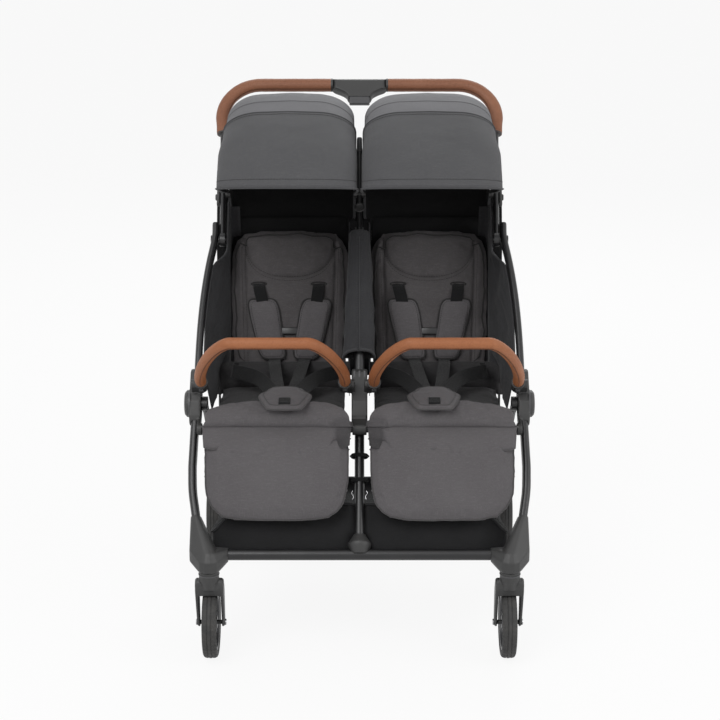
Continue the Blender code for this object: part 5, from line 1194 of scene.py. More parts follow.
def lower_insert(piece):
    """The seat's middle lies lower than the full roll along its front edge."""
    places, normals = grid_of(piece.data)
    behind = np.clip((places[:, 1] - SEAT_INSERT_Y + 0.006) / 0.018, 0.0, 1.0)
    places[:, 2] -= 0.0075 * behind * np.clip(normals[:, 2], 0.0, 1.0)
    roll = np.exp(-((places[:, 1] - SEAT_ROLL_Y) / 0.020) ** 2) * np.clip(normals[:, 2], 0.0, 1.0)
    places[:, 2] += 0.0040 * roll
    put_places(piece.data, places)


def knee_fold_half(degrees):
    """Half of the fold's width: widest over the knee, in to the cushion and to the pad."""
    above, below = max(0.0, 160.0 - degrees) / 62.0, max(0.0, degrees - 160.0) / 70.0
    return FOLD_HALF - 0.0100 * above ** 2 - 0.0085 * below ** 1.5


crumple(leg_left, 0.0022, 34.0, 3.1, lambda p: 0.25 + near_leg_top(p))
crumple(seat_left, 0.0026, 30.0, 7.7, lambda p: 0.3 + 0.7 * near_seat_front(p))
lower_insert(seat_left)
# Painted shade: the seat's top behind the front roll takes the darker seat cloth.
seat_left.data.materials.append(seat_shade_cloth)
for face in seat_left.data.polygons:
    if face.center.y > SEAT_INSERT_Y:
        face.material_index = 1
leg_right = mirrored(leg_left, "leg_rest_pad_right")
seat_right = mirrored(seat_left, "seat_cushion_right")
crumple(leg_right, 0.0012, 26.0, 11.3)
crumple(seat_right, 0.0012, 22.0, 5.9)
for side_name, side, seat, rest in (("left", -1.0, seat_left, leg_left),
                                    ("right", 1.0, seat_right, leg_right)):
    leg_rest_face = surface_of(rest)
    middle = side * leg_rest_middle

    def leg_rest_core(x, d, middle=middle):
        return across(middle + x, CALF_PIN + CALF_ALONG * d - CALF_OUT * 0.0130)

    place(pad_piping("leg_rest_piping_" + side_name, leg_rest_face,
                     rim_rays(leg_rest_half - 0.066, 0.030, 0.0085, 12, LEG_REST_CORNER),
                     leg_rest_core, CALF_ALONG, piping_grey), "calf_" + side_name,
          slot="seat_cloth")
    shape = bmesh.new()
    crease = [across(middle + s * leg_rest_half * 0.93, CALF_PIN + CALF_ALONG * 0.0225)
              for s in [-1.0 + 0.05 * i for i in range(41)]]
    stitches_on(shape, laid_on(leg_rest_face, crease, -CALF_OUT), 0.0036, 0.0020)
    place(finished("leg_rest_stitches_" + side_name, shape, stitch_grey), "calf_" + side_name,
          slot="seat_cloth")
    seat_face = surface_of(seat)
    shape = bmesh.new()
    line = [Vector((side * SEAT_MIDDLE_X + s * SEAT_SEAM_HALF,
                    SEAT_SEAM_Y - 0.006 * math.cos(s * 2.6), 0.50))
            for s in [-1.0 + 0.05 * i for i in range(41)]]
    stitches_on(shape, laid_on(seat_face, line, Vector((0.0, 0.0, -1.0))), 0.0036, 0.0020)
    place(finished("seat_stitches_" + side_name, shape, stitch_grey), "seat_frame",
          slot="seat_cloth")
    place(rest, "calf_" + side_name, "leg_rest_" + side_name, slot="seat_cloth")
    place(seat, "seat_frame", "seat_base_" + side_name, slot="seat_cloth")
    both = surface_of(seat, rest)
    last_row, last_column = FOLD_ROWS - 1, FOLD_COLUMNS - 1
    grid = []
    for i in range(FOLD_ROWS):
        ray = direction(FOLD_FROM + FOLD_STEP * i)
        line = []
        for k in range(FOLD_COLUMNS):
            x = side * min(0.285, max(0.047, FOLD_INNER_X + FOLD_WIDE * k / last_column))
            hit, _, _, _ = both.ray_cast(across(x, KNEE_CORE + ray * 0.08), -ray)
            line.append((hit - across(x, KNEE_CORE)).length if hit is not None else 0.0)
        grid.append(line)
    reach = np.array(grid)
    for _ in range(3):
        padded = np.pad(reach, ((2, 2), (1, 1)), mode="edge")
        raised = np.maximum(reach, (padded[:-4, 1:-1] + padded[4:, 1:-1]) / 2.0)
        reach = np.where(raised > 0.0, raised, reach)
    padded = np.pad(reach, 1, mode="edge")
    reach = (padded[:-2, 1:-1] + padded[2:, 1:-1] + padded[1:-1, :-2] + padded[1:-1, 2:]
             + 4.0 * reach) / 8.0
    grid = []
    for i, row in enumerate(reach):
        degrees = FOLD_FROM + FOLD_STEP * i
        edge = min(i, last_row - i) / 4.0
        line = []
        for k, r in enumerate(row):
            off_middle = k - last_column / 2.0
            x = side * (leg_rest_middle + knee_fold_half(degrees) * off_middle
                        / (last_column / 2.0))
            end = max(0.0, abs(off_middle) - 23.0) / 3.0
            crease = 0.0012 * math.exp(-((degrees - 163.0 - 3.0 * math.sin(k * 0.5)) / 5.0) ** 2)
            crease += 0.0009 * math.exp(-((degrees - 178.0 - 4.0 * math.sin(k * 0.31)) / 5.0) ** 2)
            lift = 0.0012 * min(1.0, edge) - 0.0004 - crease * 0.7 - 0.0075 * end * end
            line.append(across(x, KNEE_CORE + direction(degrees) * (r + lift)))
        grid.append(line if side > 0.0 else line[::-1])
    knee = cloth_grid("knee_fold_cloth_" + side_name, grid, 0.0012, [seat_marl], 1.0)
    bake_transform(knee)


# Backrests: a quilted pad on a stiff board, in darker marl cloth. A curved seam bounds the head
# panel and two upright seams bound the side bolsters; its hem turns round the rear seat tube.
BACK_ALONG, BACK_OUT = direction(69.0), direction(159.0)
BACK_MIDDLE_X, BACK_HALF = 0.1525, 0.1275
STRAP_SLOTS, STRAP_SLOT_UP = (-0.53, 0.50), 0.2190
HEAD_SEAM = tuple((0.78 * math.copysign(abs(math.sin(a)) ** 0.85, math.sin(a)),
                   0.318 - 0.087 * abs(math.cos(a)) ** 0.80)
                  for a in [math.pi * (i / 24.0 - 0.5) for i in range(25)])
SIDE_SEAM = ((0.80, 0.302), (0.79, 0.24), (0.765, 0.14), (0.745, 0.045))
back_marl = woven("back_marl_cloth", (84, 81, 82), (118, 115, 116), 900.0, 0.42, 0.16, 0.12)
cover_marl = woven("harness_pad_marl", (94, 91, 93), (128, 126, 127), 900.0, 0.42, 0.16, 0.12)
piping_dark = woven("piping_dark", (46, 45, 45), (74, 72, 72), 1500.0, 0.4, 0.15, 0.15)
stitch_dark = woven("stitch_dark", (44, 43, 43), (78, 76, 76), 2200.0, 0.5, 0.1, 0.1)


def seam_points(middle, seam, mirror=1.0):
    return [(middle + mirror * s * BACK_HALF, d) for s, d in seam]


HEAD_FROM, HEAD_TALL, HEAD_CORNER = 0.262, 0.078, 0.50


def head_width(distance):
    """How much of the pad's width is left at this distance up it: its top corners are round."""
    share = np.clip((distance - HEAD_FROM) / HEAD_TALL, 0.0, 1.0)
    return 1.0 - HEAD_CORNER * (1.0 - np.sqrt(1.0 - share ** 2.2))


back_left = stuffed("backrest_left", "backrest_pad_left", back_marl, 0.0010, 0.0050)
left_middle = -BACK_MIDDLE_X
places, _ = grid_of(back_left.data)
up_pad = (places - np.array(BACK_PIN)) @ np.array(BACK_ALONG)
places[:, 0] = left_middle + (places[:, 0] - left_middle) * head_width(up_pad) * 1.080
places += np.array(BACK_ALONG) * (0.0055 * np.clip(up_pad / 0.33, 0.0, 1.0) ** 2)[:, None]
put_places(back_left.data, places)
crumple(back_left, 0.0018, 26.0, 2.2)
for line in (seam_points(left_middle, HEAD_SEAM), seam_points(left_middle, SIDE_SEAM),
             seam_points(left_middle, SIDE_SEAM, -1.0)):
    press(back_left, BACK_PIN, BACK_ALONG, BACK_OUT, line, 0.0050, 0.0036)
for s in STRAP_SLOTS:
    slot_line = [(left_middle + (s + off) * BACK_HALF, STRAP_SLOT_UP) for off in (-0.10, 0.10)]
    press(back_left, BACK_PIN, BACK_ALONG, BACK_OUT, slot_line, 0.0040, 0.0035)
back_right = mirrored(back_left, "backrest_pad_right")
crumple(back_right, 0.0010, 24.0, 9.4)


def strap_along(shape, path, normals, half, thick):
    """A flat band of webbing along a path; normals give the way its face looks."""
    rings = []
    for i, (point, normal) in enumerate(zip(path, normals)):
        step = (path[min(i + 1, len(path) - 1)] - path[max(i - 1, 0)]).normalized()
        wide = step.cross(normal).normalized()
        up = wide.cross(step).normalized()
        ring = []
        for a, b in ((-1.0, -0.3), (-0.97, -0.5), (-0.8, -0.5), (0.8, -0.5), (0.97, -0.5),
                     (1.0, -0.3), (1.0, 0.3), (0.97, 0.5), (0.8, 0.42), (0.0, 0.5), (-0.8, 0.42),
                     (-0.97, 0.5)):
            ring.append(point + wide * (a * half) + up * (b * thick))
        rings.append(ring)
    skin_rings(shape, rings)


def cushion_form(shape, outline, turn, low, high, crown_power=2.6, levels=9):
    """A crowned closed pad over an outline of (x, y) points: flat below, domed above."""
    rings = [[turn @ Vector((x * 0.90, y * 0.90, low)) for x, y in outline],
             [turn @ Vector((x * 0.985, y * 0.985, low + (high - low) * 0.10)) for x, y in outline],
             [turn @ Vector((x, y, low + (high - low) * 0.30)) for x, y in outline]]
    for k in range(1, levels + 1):
        grow = math.cos(math.pi * 0.5 * k / (levels + 1.0))
        dome = (1.0 - grow ** crown_power) ** (1.0 / 1.9)
        z = low + (high - low) * (0.30 + 0.70 * dome)
        rings.append([turn @ Vector((x * grow, y * grow, z)) for x, y in outline])
    skin_rings(shape, rings)


BACK_TURN = Matrix.Translation(BACK_PIN) @ Matrix((
    (1.0, 0.0, 0.0), (0.0, BACK_ALONG.y, BACK_OUT.y),
    (0.0, BACK_ALONG.z, BACK_OUT.z))).to_4x4()
PAD_LOW, PAD_HIGH, PAD_LOW_X, PAD_HIGH_X = 0.054, 0.186, 0.0345, 0.0610
PAD_LOW_HALF, PAD_HIGH_HALF, PAD_RISE, PAD_THICK = 0.0290, 0.0340, 0.0017, 0.0130
for side_name, side, back in (("left", -1.0, back_left), ("right", 1.0, back_right)):
    body = "back_" + side_name
    middle = side * BACK_MIDDLE_X
    face = surface_of(back)

    def back_core(s, d, middle=middle):
        return across(middle + s * BACK_HALF, BACK_PIN + BACK_ALONG * d - BACK_OUT * 0.0095)

    place(pad_piping("backrest_piping_" + side_name, face,
                     rim_rays(0.48, 0.030, 0.0145, 17, HEAD_FROM), back_core, BACK_ALONG,
                     piping_dark), body, slot="back_cloth")
    shape = bmesh.new()
    for seam, mirror in ((HEAD_SEAM, 1.0), (SIDE_SEAM, 1.0), (SIDE_SEAM, -1.0)):
        for offset in (-0.0042, 0.0042):
            moved = []
            for x, d in seam_points(middle, seam, mirror):
                if seam is HEAD_SEAM:
                    moved.append((x, d + offset))
                else:
                    moved.append((x + offset, d))
            line = smooth_line([across(x, BACK_PIN + BACK_ALONG * d) for x, d in moved], 8)
            stitches_on(shape, laid_on(face, line, -BACK_OUT), 0.0034, 0.0020, 0.00055)
    place(finished("backrest_stitches_" + side_name, shape, stitch_dark), body,
          slot="back_cloth")
    slots_shape, straps_shape = bmesh.new(), bmesh.new()
    for s in STRAP_SLOTS:
        x = middle + s * BACK_HALF
        lip = [across(x + math.cos(a) * 0.0170,
                      BACK_PIN + BACK_ALONG * (STRAP_SLOT_UP + 0.0042 * math.sin(a)))
               for a in [2.0 * math.pi * i / 32 for i in range(32)]]
        cord_on(slots_shape, laid_on(face, lip, -BACK_OUT), 0.0013, 0.0004, loop=True)
        pad_x = middle + math.copysign(PAD_HIGH_X - 0.002, s)
        line = smooth_line([across(x, BACK_PIN + BACK_ALONG * 0.2200),
                            across(x * 0.75 + pad_x * 0.25, BACK_PIN + BACK_ALONG * 0.205),
                            across(pad_x, BACK_PIN + BACK_ALONG * 0.178),
                            across(pad_x, BACK_PIN + BACK_ALONG * 0.160)], 8)
        laid = laid_on(face, line, -BACK_OUT)
        count = len(laid) - 1
        path = [hit + BACK_OUT * (0.0016 + 0.0050 * math.sin(math.pi * min(1.0, i / count)) ** 2
                                  - 0.0030 * max(0.0, 1.0 - 3.0 * i / count))
                for i, (hit, _) in enumerate(laid)]
        strap_along(straps_shape, path, [BACK_OUT] * len(path), 0.0130, 0.0022)
    place(finished("strap_slots_" + side_name, slots_shape, stitch_dark), body,
          slot="back_cloth")
    place(finished("shoulder_straps_" + side_name, straps_shape, webbing, 50.0), body,
          slot="dark_cloth")
    rims_shape = bmesh.new()
    for tag, s in (("outer", side), ("inner", -side)):
        outline = []
        for a, b in oval(1.0, 1.0, 6.0, 96):
            share = (b + 1.0) / 2.0
            width = PAD_LOW_HALF + (PAD_HIGH_HALF - PAD_LOW_HALF) * share
            outline.append((s * (PAD_LOW_X + (PAD_HIGH_X - PAD_LOW_X) * share) + a * width,
                            b * (PAD_HIGH - PAD_LOW) / 2.0))
        centre_x = sum(x for x, _ in outline) / len(outline)
        local = [(x - centre_x, y) for x, y in outline]
        turn = BACK_TURN @ Matrix.Translation(
            Vector((middle + centre_x, (PAD_LOW + PAD_HIGH) / 2.0, PAD_RISE)))
        shape = bmesh.new()
        cushion_form(shape, local, turn, 0.0, PAD_THICK + 0.0010, 5.0, 14)
        pad = finished("shoulder_pad_%s_%s" % (side_name, tag), shape, cover_marl, 0.0)
        crumple(pad, 0.0012, 40.0, 3.0 * s + side)
        place(pad, body, "shoulder_harness_" + side_name, slot="back_cloth")
        rim_path = [turn @ Vector((x * 0.985, y * 0.99, PAD_THICK * 0.42)) for x, y in local]
        run_along(rims_shape, rim_path, oval(0.0027, 0.0027, 2.0, 10), BACK_OUT, loop=True)
        sewn = [turn @ Vector((x * 0.84, y * 0.92, PAD_THICK * 0.5)) for x, y in local]
        stitches_on(rims_shape, laid_on(surface_of(pad), sewn + sewn[:1], -BACK_OUT), 0.0030,
                    0.0018, 0.0005)
    place(finished("shoulder_pad_piping_" + side_name, rims_shape, piping_dark), body,
          slot="back_cloth")
    shape = bmesh.new()
    bridge = [BACK_TURN @ Vector((middle + x, 0.115, PAD_RISE + 0.0055 + 0.0022
                                  * math.cos(x / 0.018 * 1.4))) for x in
              [-0.016 + 0.0032 * i for i in range(11)]]
    run_along(shape, bridge, oval(0.0075, 0.0026, 4.0, 24), BACK_ALONG)
    place(finished("chest_clip_" + side_name, shape, satin_black), body, slot="black_plastic")
    place(back, body, "backrest_" + side_name, slot="back_cloth")


# Harness at the seat: the buckle is under a padded cover with a piped rim, held by a webbing
# strap through the cushion; two waist straps rise in loops from the seat's back corners.
CROTCH_SPOT, CROTCH_TILT = Vector((0.0, -0.1720, 0.5079)), 8.0
# From the middle outwards, back and forth of the seat, and up
WAIST_STRAP = ((0.1120, 0.0560, 0.4930), (0.1210, 0.0400, 0.4975), (0.1180, 0.0200, 0.5005),
               (0.0980, 0.0040, 0.5020), (0.0700, -0.0180, 0.5010), (0.0480, -0.0600, 0.5010),
               (0.0300, -0.1150, 0.5010))
STRAP_END = ((0.0300, 0.0350, 0.5090), (0.0240, -0.0300, 0.5060), (0.0170, -0.1050, 0.5060))
CROTCH_OUTLINE = ((0.0, -0.485), (0.40, -0.485), (0.62, -0.470), (0.70, -0.42), (0.80, -0.30),
                  (0.92, -0.14), (1.0, 0.05), (0.985, 0.13), (0.88, 0.215), (0.74, 0.30),
                  (0.62, 0.43), (0.44, 0.495), (0.22, 0.52), (0.0, 0.525))
for side_name, side in SIDES.items():
    middle = side * BACK_MIDDLE_X
    half = smooth_line([Vector((x * 0.0530, y * (0.0890 if y > 0.0 else 0.1060), 0.0))
                        for x, y in CROTCH_OUTLINE], 3)
    outline = [(p.x, p.y) for p in half] + [(-p.x, p.y) for p in half[-2:0:-1]]
    turn = Matrix.Translation(CROTCH_SPOT + X_AXIS * middle) @ Matrix.Rotation(
        math.radians(CROTCH_TILT), 4, "X")
    shape = bmesh.new()
    cushion_form(shape, outline, turn, -0.0060, 0.0085)
    cover = finished("buckle_cover_" + side_name, shape, cover_marl, 0.0)
    crumple(cover, 0.0012, 42.0, 6.0 + side)
    shape = bmesh.new()
    rim_path = [turn @ Vector((x * 1.004, y * 1.004, -0.0016)) for x, y in outline]
    run_along(shape, rim_path, oval(0.0018, 0.0018, 2.0, 8), Vector((0.0, 0.0, 1.0)), loop=True)
    up = (turn.to_3x3() @ Vector((0.0, 0.0, 1.0))).normalized()
    inner = [turn @ Vector((x * 0.84, y * 0.84, 0.004)) for x, y in outline]
    laid = laid_on(surface_of(cover), inner + inner[:1], -up)
    cord_on(shape, laid, 0.0011, 0.0003)
    place(finished("buckle_cover_piping_" + side_name, shape, piping_grey), "seat_frame",
          slot="seat_cloth")
    place(cover, "seat_frame", "crotch_pad_" + side_name, slot="seat_cloth")
    shape = bmesh.new()
    face = laid_on(surface_of(cover), [turn @ Vector((0.0, -0.0200 - 0.0037 * i, 0.0))
                                       for i in range(6)], -up)
    path = [hit + up * 0.0008 for hit, _ in face]
    path += [turn @ Vector((0.0, -0.0447, -0.0010)), turn @ Vector((0.0, -0.0420, -0.0085)),
             across(middle, Vector((0.0, -0.1950, 0.4960)))]
    strap_along(shape, smooth_line(path, 3), [up] * (len(path) * 3 - 2), 0.0120, 0.0020)
    foot_path = [across(middle, Vector((0.0, -0.150, z))) for z in (0.488, 0.496, 0.506)]
    strap_along(shape, foot_path, [Vector((0.0, -1.0, 0.0))] * 3, 0.0135, 0.0026)
    for s in (-1.0, 1.0):
        path = smooth_line([(middle + s * x, y, z) for x, y, z in WAIST_STRAP], 8)
        count = len(path) - 1
        faces = [Vector((s * 0.25, -1.0, 0.22 + 0.9 * max(0.0, i / count - 0.45))).normalized()
                 for i in range(count + 1)]
        strap_along(shape, path, faces, 0.0150, 0.0020)
    place(finished("waist_straps_" + side_name, shape, webbing, 50.0), "seat_frame",
          slot="dark_cloth")
    shape = bmesh.new()
    for s in (-1.0, 1.0):
        top = across(middle + s * 0.0340, BACK_PIN + BACK_ALONG * 0.070 + BACK_OUT * 0.0080)
        turned = across(middle + s * 0.0325, BACK_PIN + BACK_ALONG * 0.052 + BACK_OUT * 0.0105)
        path = smooth_line([top, turned] + [(middle + s * x, y, z) for x, y, z in STRAP_END], 8)
        count = len(path) - 1
        faces = [BACK_OUT.lerp(Vector((0.0, -0.25, 1.0)), i / count).normalized()
                 for i in range(count + 1)]
        strap_along(shape, path, faces, 0.0130, 0.0020)
    ends = finished("shoulder_strap_ends_" + side_name, shape, webbing, 50.0)
    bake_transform(ends)


# Side wings, middle sleeve and back cloths: thin dark panels that close the seats. Each wing is
# tacked to the side tube in front and to the backrest behind; the sleeve goes round the middle
# tube and joins both inner walls. A strip and head flaps close the seats from behind; at the back
# of each seat a sheet in the darker seat cloth is painted shade over the seat's rear.
TUBE_BACK = TUBE_DIR.cross(X_AXIS)
if TUBE_BACK.y < 0.0:
    TUBE_BACK = -TUBE_BACK
WING_HEEL, WING_KNEE_X, WING_BACK_X, WING_WIDEST_X = 1.0 / 6.0, 0.2858, 0.2845, 0.3270
wing_cloth = woven("wing_cloth", (50, 50, 52), (80, 80, 83), 1000.0, 0.38, 0.22, 0.10)
lining_cloth = woven("lining_cloth", (21, 21, 22), (38, 38, 40), 1100.0, 0.3, 0.15, 0.04)
wing_binding = woven("wing_binding", (60, 60, 62), (92, 92, 94), 1500.0, 0.4, 0.2, 0.12)


def eased(share):
    share = min(1.0, max(0.0, share))
    return share * share * (3.0 - 2.0 * share)


def crumples_in_fold(piece):
    """Gives the cloth piece its own copy of its mesh."""
    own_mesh(piece)


def wing_front(share):
    low, high = 0.080, TUBE_LONG + 0.094
    lowest = Vector((0.3090, -0.100, 0.4560))
    d = low + (high - low) * max(0.0, share - WING_HEEL) / (1.0 - WING_HEEL)
    beside = min(tube_x(d) - 0.0075, HOUSING_INNER) - 0.0003
    spot = on_tube(d) if d < TUBE_LONG else on_arm(d - TUBE_LONG)
    turn_in = min(1.0, max(0.0, (d - TUBE_LONG + 0.0639) / 0.0380))
    edge = across(beside + (WING_KNEE_X - beside) * eased(turn_in), spot)
    return lowest.lerp(edge, min(1.0, share / WING_HEEL))


def wing_back(share):
    beside = min(share / 0.80, 1.0)
    spot = BACK_PIN + BACK_ALONG * (0.025 + 0.300 * beside) - BACK_OUT * 0.008
    spot = spot.lerp(Vector((0.0, 0.180, 0.830)), max(0.0, share - 0.80) / 0.20)
    return across(WING_BACK_X, spot)


for side_name, side in SIDES.items():
    grid = []
    for i in range(73):
        share = i / 72.0
        front, back = wing_front(share), wing_back(share)
        line = []
        for k in range(27):
            s = k / 26.0
            point = front.lerp(back, s)
            beside_seat = eased((0.16 - share) / 0.08) * eased((0.97 - s) / 0.10)
            point.x = max(point.x, WING_BACK_X + 0.0172 * beside_seat)
            held = math.sin(math.pi * s)
            point.x += 0.0040 * held * (1.0 - share)
            fold = noise.fractal(Vector((share * 5.0 + side, s * 2.2, 4.0)), 0.7, 2.1, 4)
            crease = math.sin(share * 21.0 + s * 5.0 + 1.3 * side) * 0.5 + 0.5
            point.x += held * (0.0045 * fold - 0.0028 * crease ** 3)
            point.x = min(point.x, WING_WIDEST_X)
            line.append(Vector((side * point.x, point.y, point.z)))
        for deep, inward in ((0.010, 0.0), (0.022, 0.0004), (0.032, 0.0012), (0.0370, 0.006),
                             (0.0385, 0.014), (0.0385, 0.022)):
            behind = back - BACK_OUT * deep
            line.append(Vector((side * (behind.x - inward), behind.y, behind.z)))
        grid.append(line)
    wing = cloth_grid("side_wing_cloth_" + side_name, grid, 0.0016, [wing_cloth])
    place(wing, "frame", "side_wing_" + side_name, slot="dark_cloth")
    crumples_in_fold(wing)
    shape = bmesh.new()
    edge = [line[0] + Vector((-side * 0.0012, 0.0, 0.0)) for line in grid[10:]]
    run_along(shape, edge, oval(0.0034, 0.0014, 2.6, 14), TUBE_BACK)
    rim = finished("side_wing_binding_" + side_name, shape, wing_binding)
    place(rim, "frame", slot="dark_cloth")
    crumples_in_fold(rim)

SLEEVE_FROM, SLEEVE_TO = 0.100, 0.393
grid = []
for i in range(61):
    share = i / 60.0
    line = []
    for k in range(57):
        angle = 2.0 * math.pi * k / 56.0
        c, s = math.cos(angle), math.sin(angle)
        scallop = 0.0100 * abs(math.sin(angle)) ** 0.7 * (1.0 - share) ** 3
        d = SLEEVE_FROM + scallop + (SLEEVE_TO - SLEEVE_FROM - scallop) * share
        half = 0.0340 + (0.0220 - 0.0340) * share
        fold = noise.fractal(Vector((c * 1.5, s * 1.5, share * 6.0)), 0.8, 2.0, 3) * 0.0022
        fold -= 0.0016 * math.exp(-((share - 0.06) / 0.05) ** 2)
        fold += 0.0010 * math.sin(share * 34.0 + 3.0 * s) * math.exp(-(share / 0.4) ** 2)
        a = math.copysign(abs(c) ** (2.0 / 2.2), c) * (half + fold)
        b = math.copysign(abs(s) ** (2.0 / 2.2), s) * (0.0200 + fold * 0.6)
        line.append(on_tube(d) + X_AXIS * a + TUBE_BACK * b)
    grid.append(line)
sleeve = cloth_grid("middle_sleeve_cloth", grid, 0.0016, [wing_cloth])
place(sleeve, "frame", "centre_sleeve", slot="dark_cloth")
crumples_in_fold(sleeve)
sleeve_front = -TUBE_BACK
shape = bmesh.new()
laid = laid_on(surface_of(sleeve), [across(0.0006, on_tube(SLEEVE_FROM + 0.012 + 0.008 * i)
                                          + sleeve_front * 0.03) for i in range(34)], TUBE_BACK)
cord_on(shape, laid, 0.0014, 0.0003)
for offset in (-0.0050, 0.0050):
    laid = laid_on(surface_of(sleeve), [across(offset, on_tube(SLEEVE_FROM + 0.014 + 0.008 * i)
                                               + sleeve_front * 0.03) for i in range(34)],
                   TUBE_BACK)
    stitches_on(shape, laid, 0.0034, 0.0020)
hem = [grid[1][k] + (grid[1][k] - across(0.0, on_tube(SLEEVE_FROM))).normalized() * 0.0006
       for k in range(56)]
run_along(shape, hem, oval(0.0012, 0.0030, 2.6, 12), X_AXIS, loop=True)
seam = finished("middle_sleeve_seam", shape, wing_binding)
place(seam, "frame", slot="dark_cloth")
crumples_in_fold(seam)

wall_front = smooth_line([Vector((0.0, -0.088, 0.482)), on_tube(0.20), on_tube(TUBE_LONG - 0.020),
                          Vector((0.0, 0.160, 0.795))], 12)
back_foot = BACK_PIN + BACK_ALONG * 0.026
wall_back = smooth_line([back_foot, back_foot.lerp(Vector((0.0, 0.190, 0.745)), 0.5),
                         Vector((0.0, 0.190, 0.745)), Vector((0.0, 0.190, 0.785))], 12)
for side_name, side in SIDES.items():
    grid = []
    for i, (front, back) in enumerate(zip(wall_front, wall_back)):
        share = i / (len(wall_front) - 1.0)
        line = []
        for k in range(21):
            s = k / 20.0
            point = front.lerp(back, s)
            fold = noise.fractal(Vector((share * 4.0, s * 2.0, 8.0 + side)), 0.7, 2.1, 3)
            x = 0.0212 + 0.0016 * fold * math.sin(math.pi * s)
            line.append(across(side * x, point))
        grid.append(line)
    wall = cloth_grid("inner_wall_cloth_" + side_name, grid, 0.0014, [wing_cloth])
    place(wall, "frame", slot="dark_cloth")
    crumples_in_fold(wall)

STRIP_HALF, STRIP_FROM, STRIP_LONG = 0.0249, 0.020, 0.345
grid = []
for i in range(45):
    d = STRIP_FROM + STRIP_LONG * i / 44.0
    line = []
    for k in range(15):
        x = -STRIP_HALF + 2.0 * STRIP_HALF * k / 14.0
        sag = 0.0030 * (1.0 - (x / STRIP_HALF) ** 2)
        fold = 0.0020 * noise.fractal(Vector((x * 30.0, d * 14.0, 2.0)), 0.8, 2.0, 3)
        line.append(across(x, BACK_PIN + BACK_ALONG * d - BACK_OUT * (0.0200 + sag + fold)))
    grid.append(line)
strip = cloth_grid("middle_back_strip", grid, 0.0014, [lining_cloth])
place(strip, "back_carrier", slot="dark_cloth")
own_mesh(strip)

HEAD_FLAP_FROM, HEAD_FLAP_TALL, HEAD_FLAP_INNER_X, HEAD_FLAP_OUTER_X = 0.240, 0.132, 0.0251, 0.2832
# Sheets at the seats' backs, in the darker seat cloth: painted shade over the seat's rear.
SEAT_SHADE_INNER_X, SEAT_SHADE_OUTER_X = 0.0225, 0.3120
SEAT_SHADE_PROFILE = ((0.0640, 0.4400), (0.0630, 0.4600), (0.0640, 0.4760), (0.0700, 0.4880),
                  (0.0810, 0.4950), (0.0935, 0.4985))
for side_name, side in SIDES.items():
    grid = []
    for i in range(25):
        d = HEAD_FLAP_FROM + HEAD_FLAP_TALL * i / 24.0
        line = []
        for k in range(49):
            x = HEAD_FLAP_INNER_X + (HEAD_FLAP_OUTER_X - HEAD_FLAP_INNER_X) * k / 48.0
            fold = 0.0016 * noise.fractal(Vector((x * 12.0, d * 16.0, 5.0 + side)), 0.8, 2.0, 3)
            line.append(across(side * x, BACK_PIN + BACK_ALONG * d - BACK_OUT * (0.0420 + fold)))
        grid.append(line if side > 0.0 else line[::-1])
    flap = cloth_grid("head_flap_cloth_" + side_name, grid, 0.0014, [lining_cloth])
    place(flap, "back_" + side_name, slot="dark_cloth")
    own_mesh(flap)
    profile = smooth_line([(0.0, y, z) for y, z in SEAT_SHADE_PROFILE], 4)
    grid = []
    for i, spot in enumerate(profile):
        line = []
        for k in range(49):
            x = SEAT_SHADE_INNER_X + (SEAT_SHADE_OUTER_X - SEAT_SHADE_INNER_X) * k / 48.0
            fold = noise.fractal(Vector((x * 14.0, i * 0.21, 9.0 + side)), 0.8, 2.0, 3)
            ahead = 0.0200 * eased((x - 0.290) / 0.010)
            line.append(across(side * x, spot + Vector((0.0, 0.0030 * fold - ahead, 0.0))))
        grid.append(line if side > 0.0 else line[::-1])
    # Painted shade: a dark sheet over the back of the seat.
    seat_back_shade_sheet = cloth_grid("seat_back_shade_sheet_" + side_name, grid, 0.0014, [seat_shade_cloth])
    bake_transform(seat_back_shade_sheet)


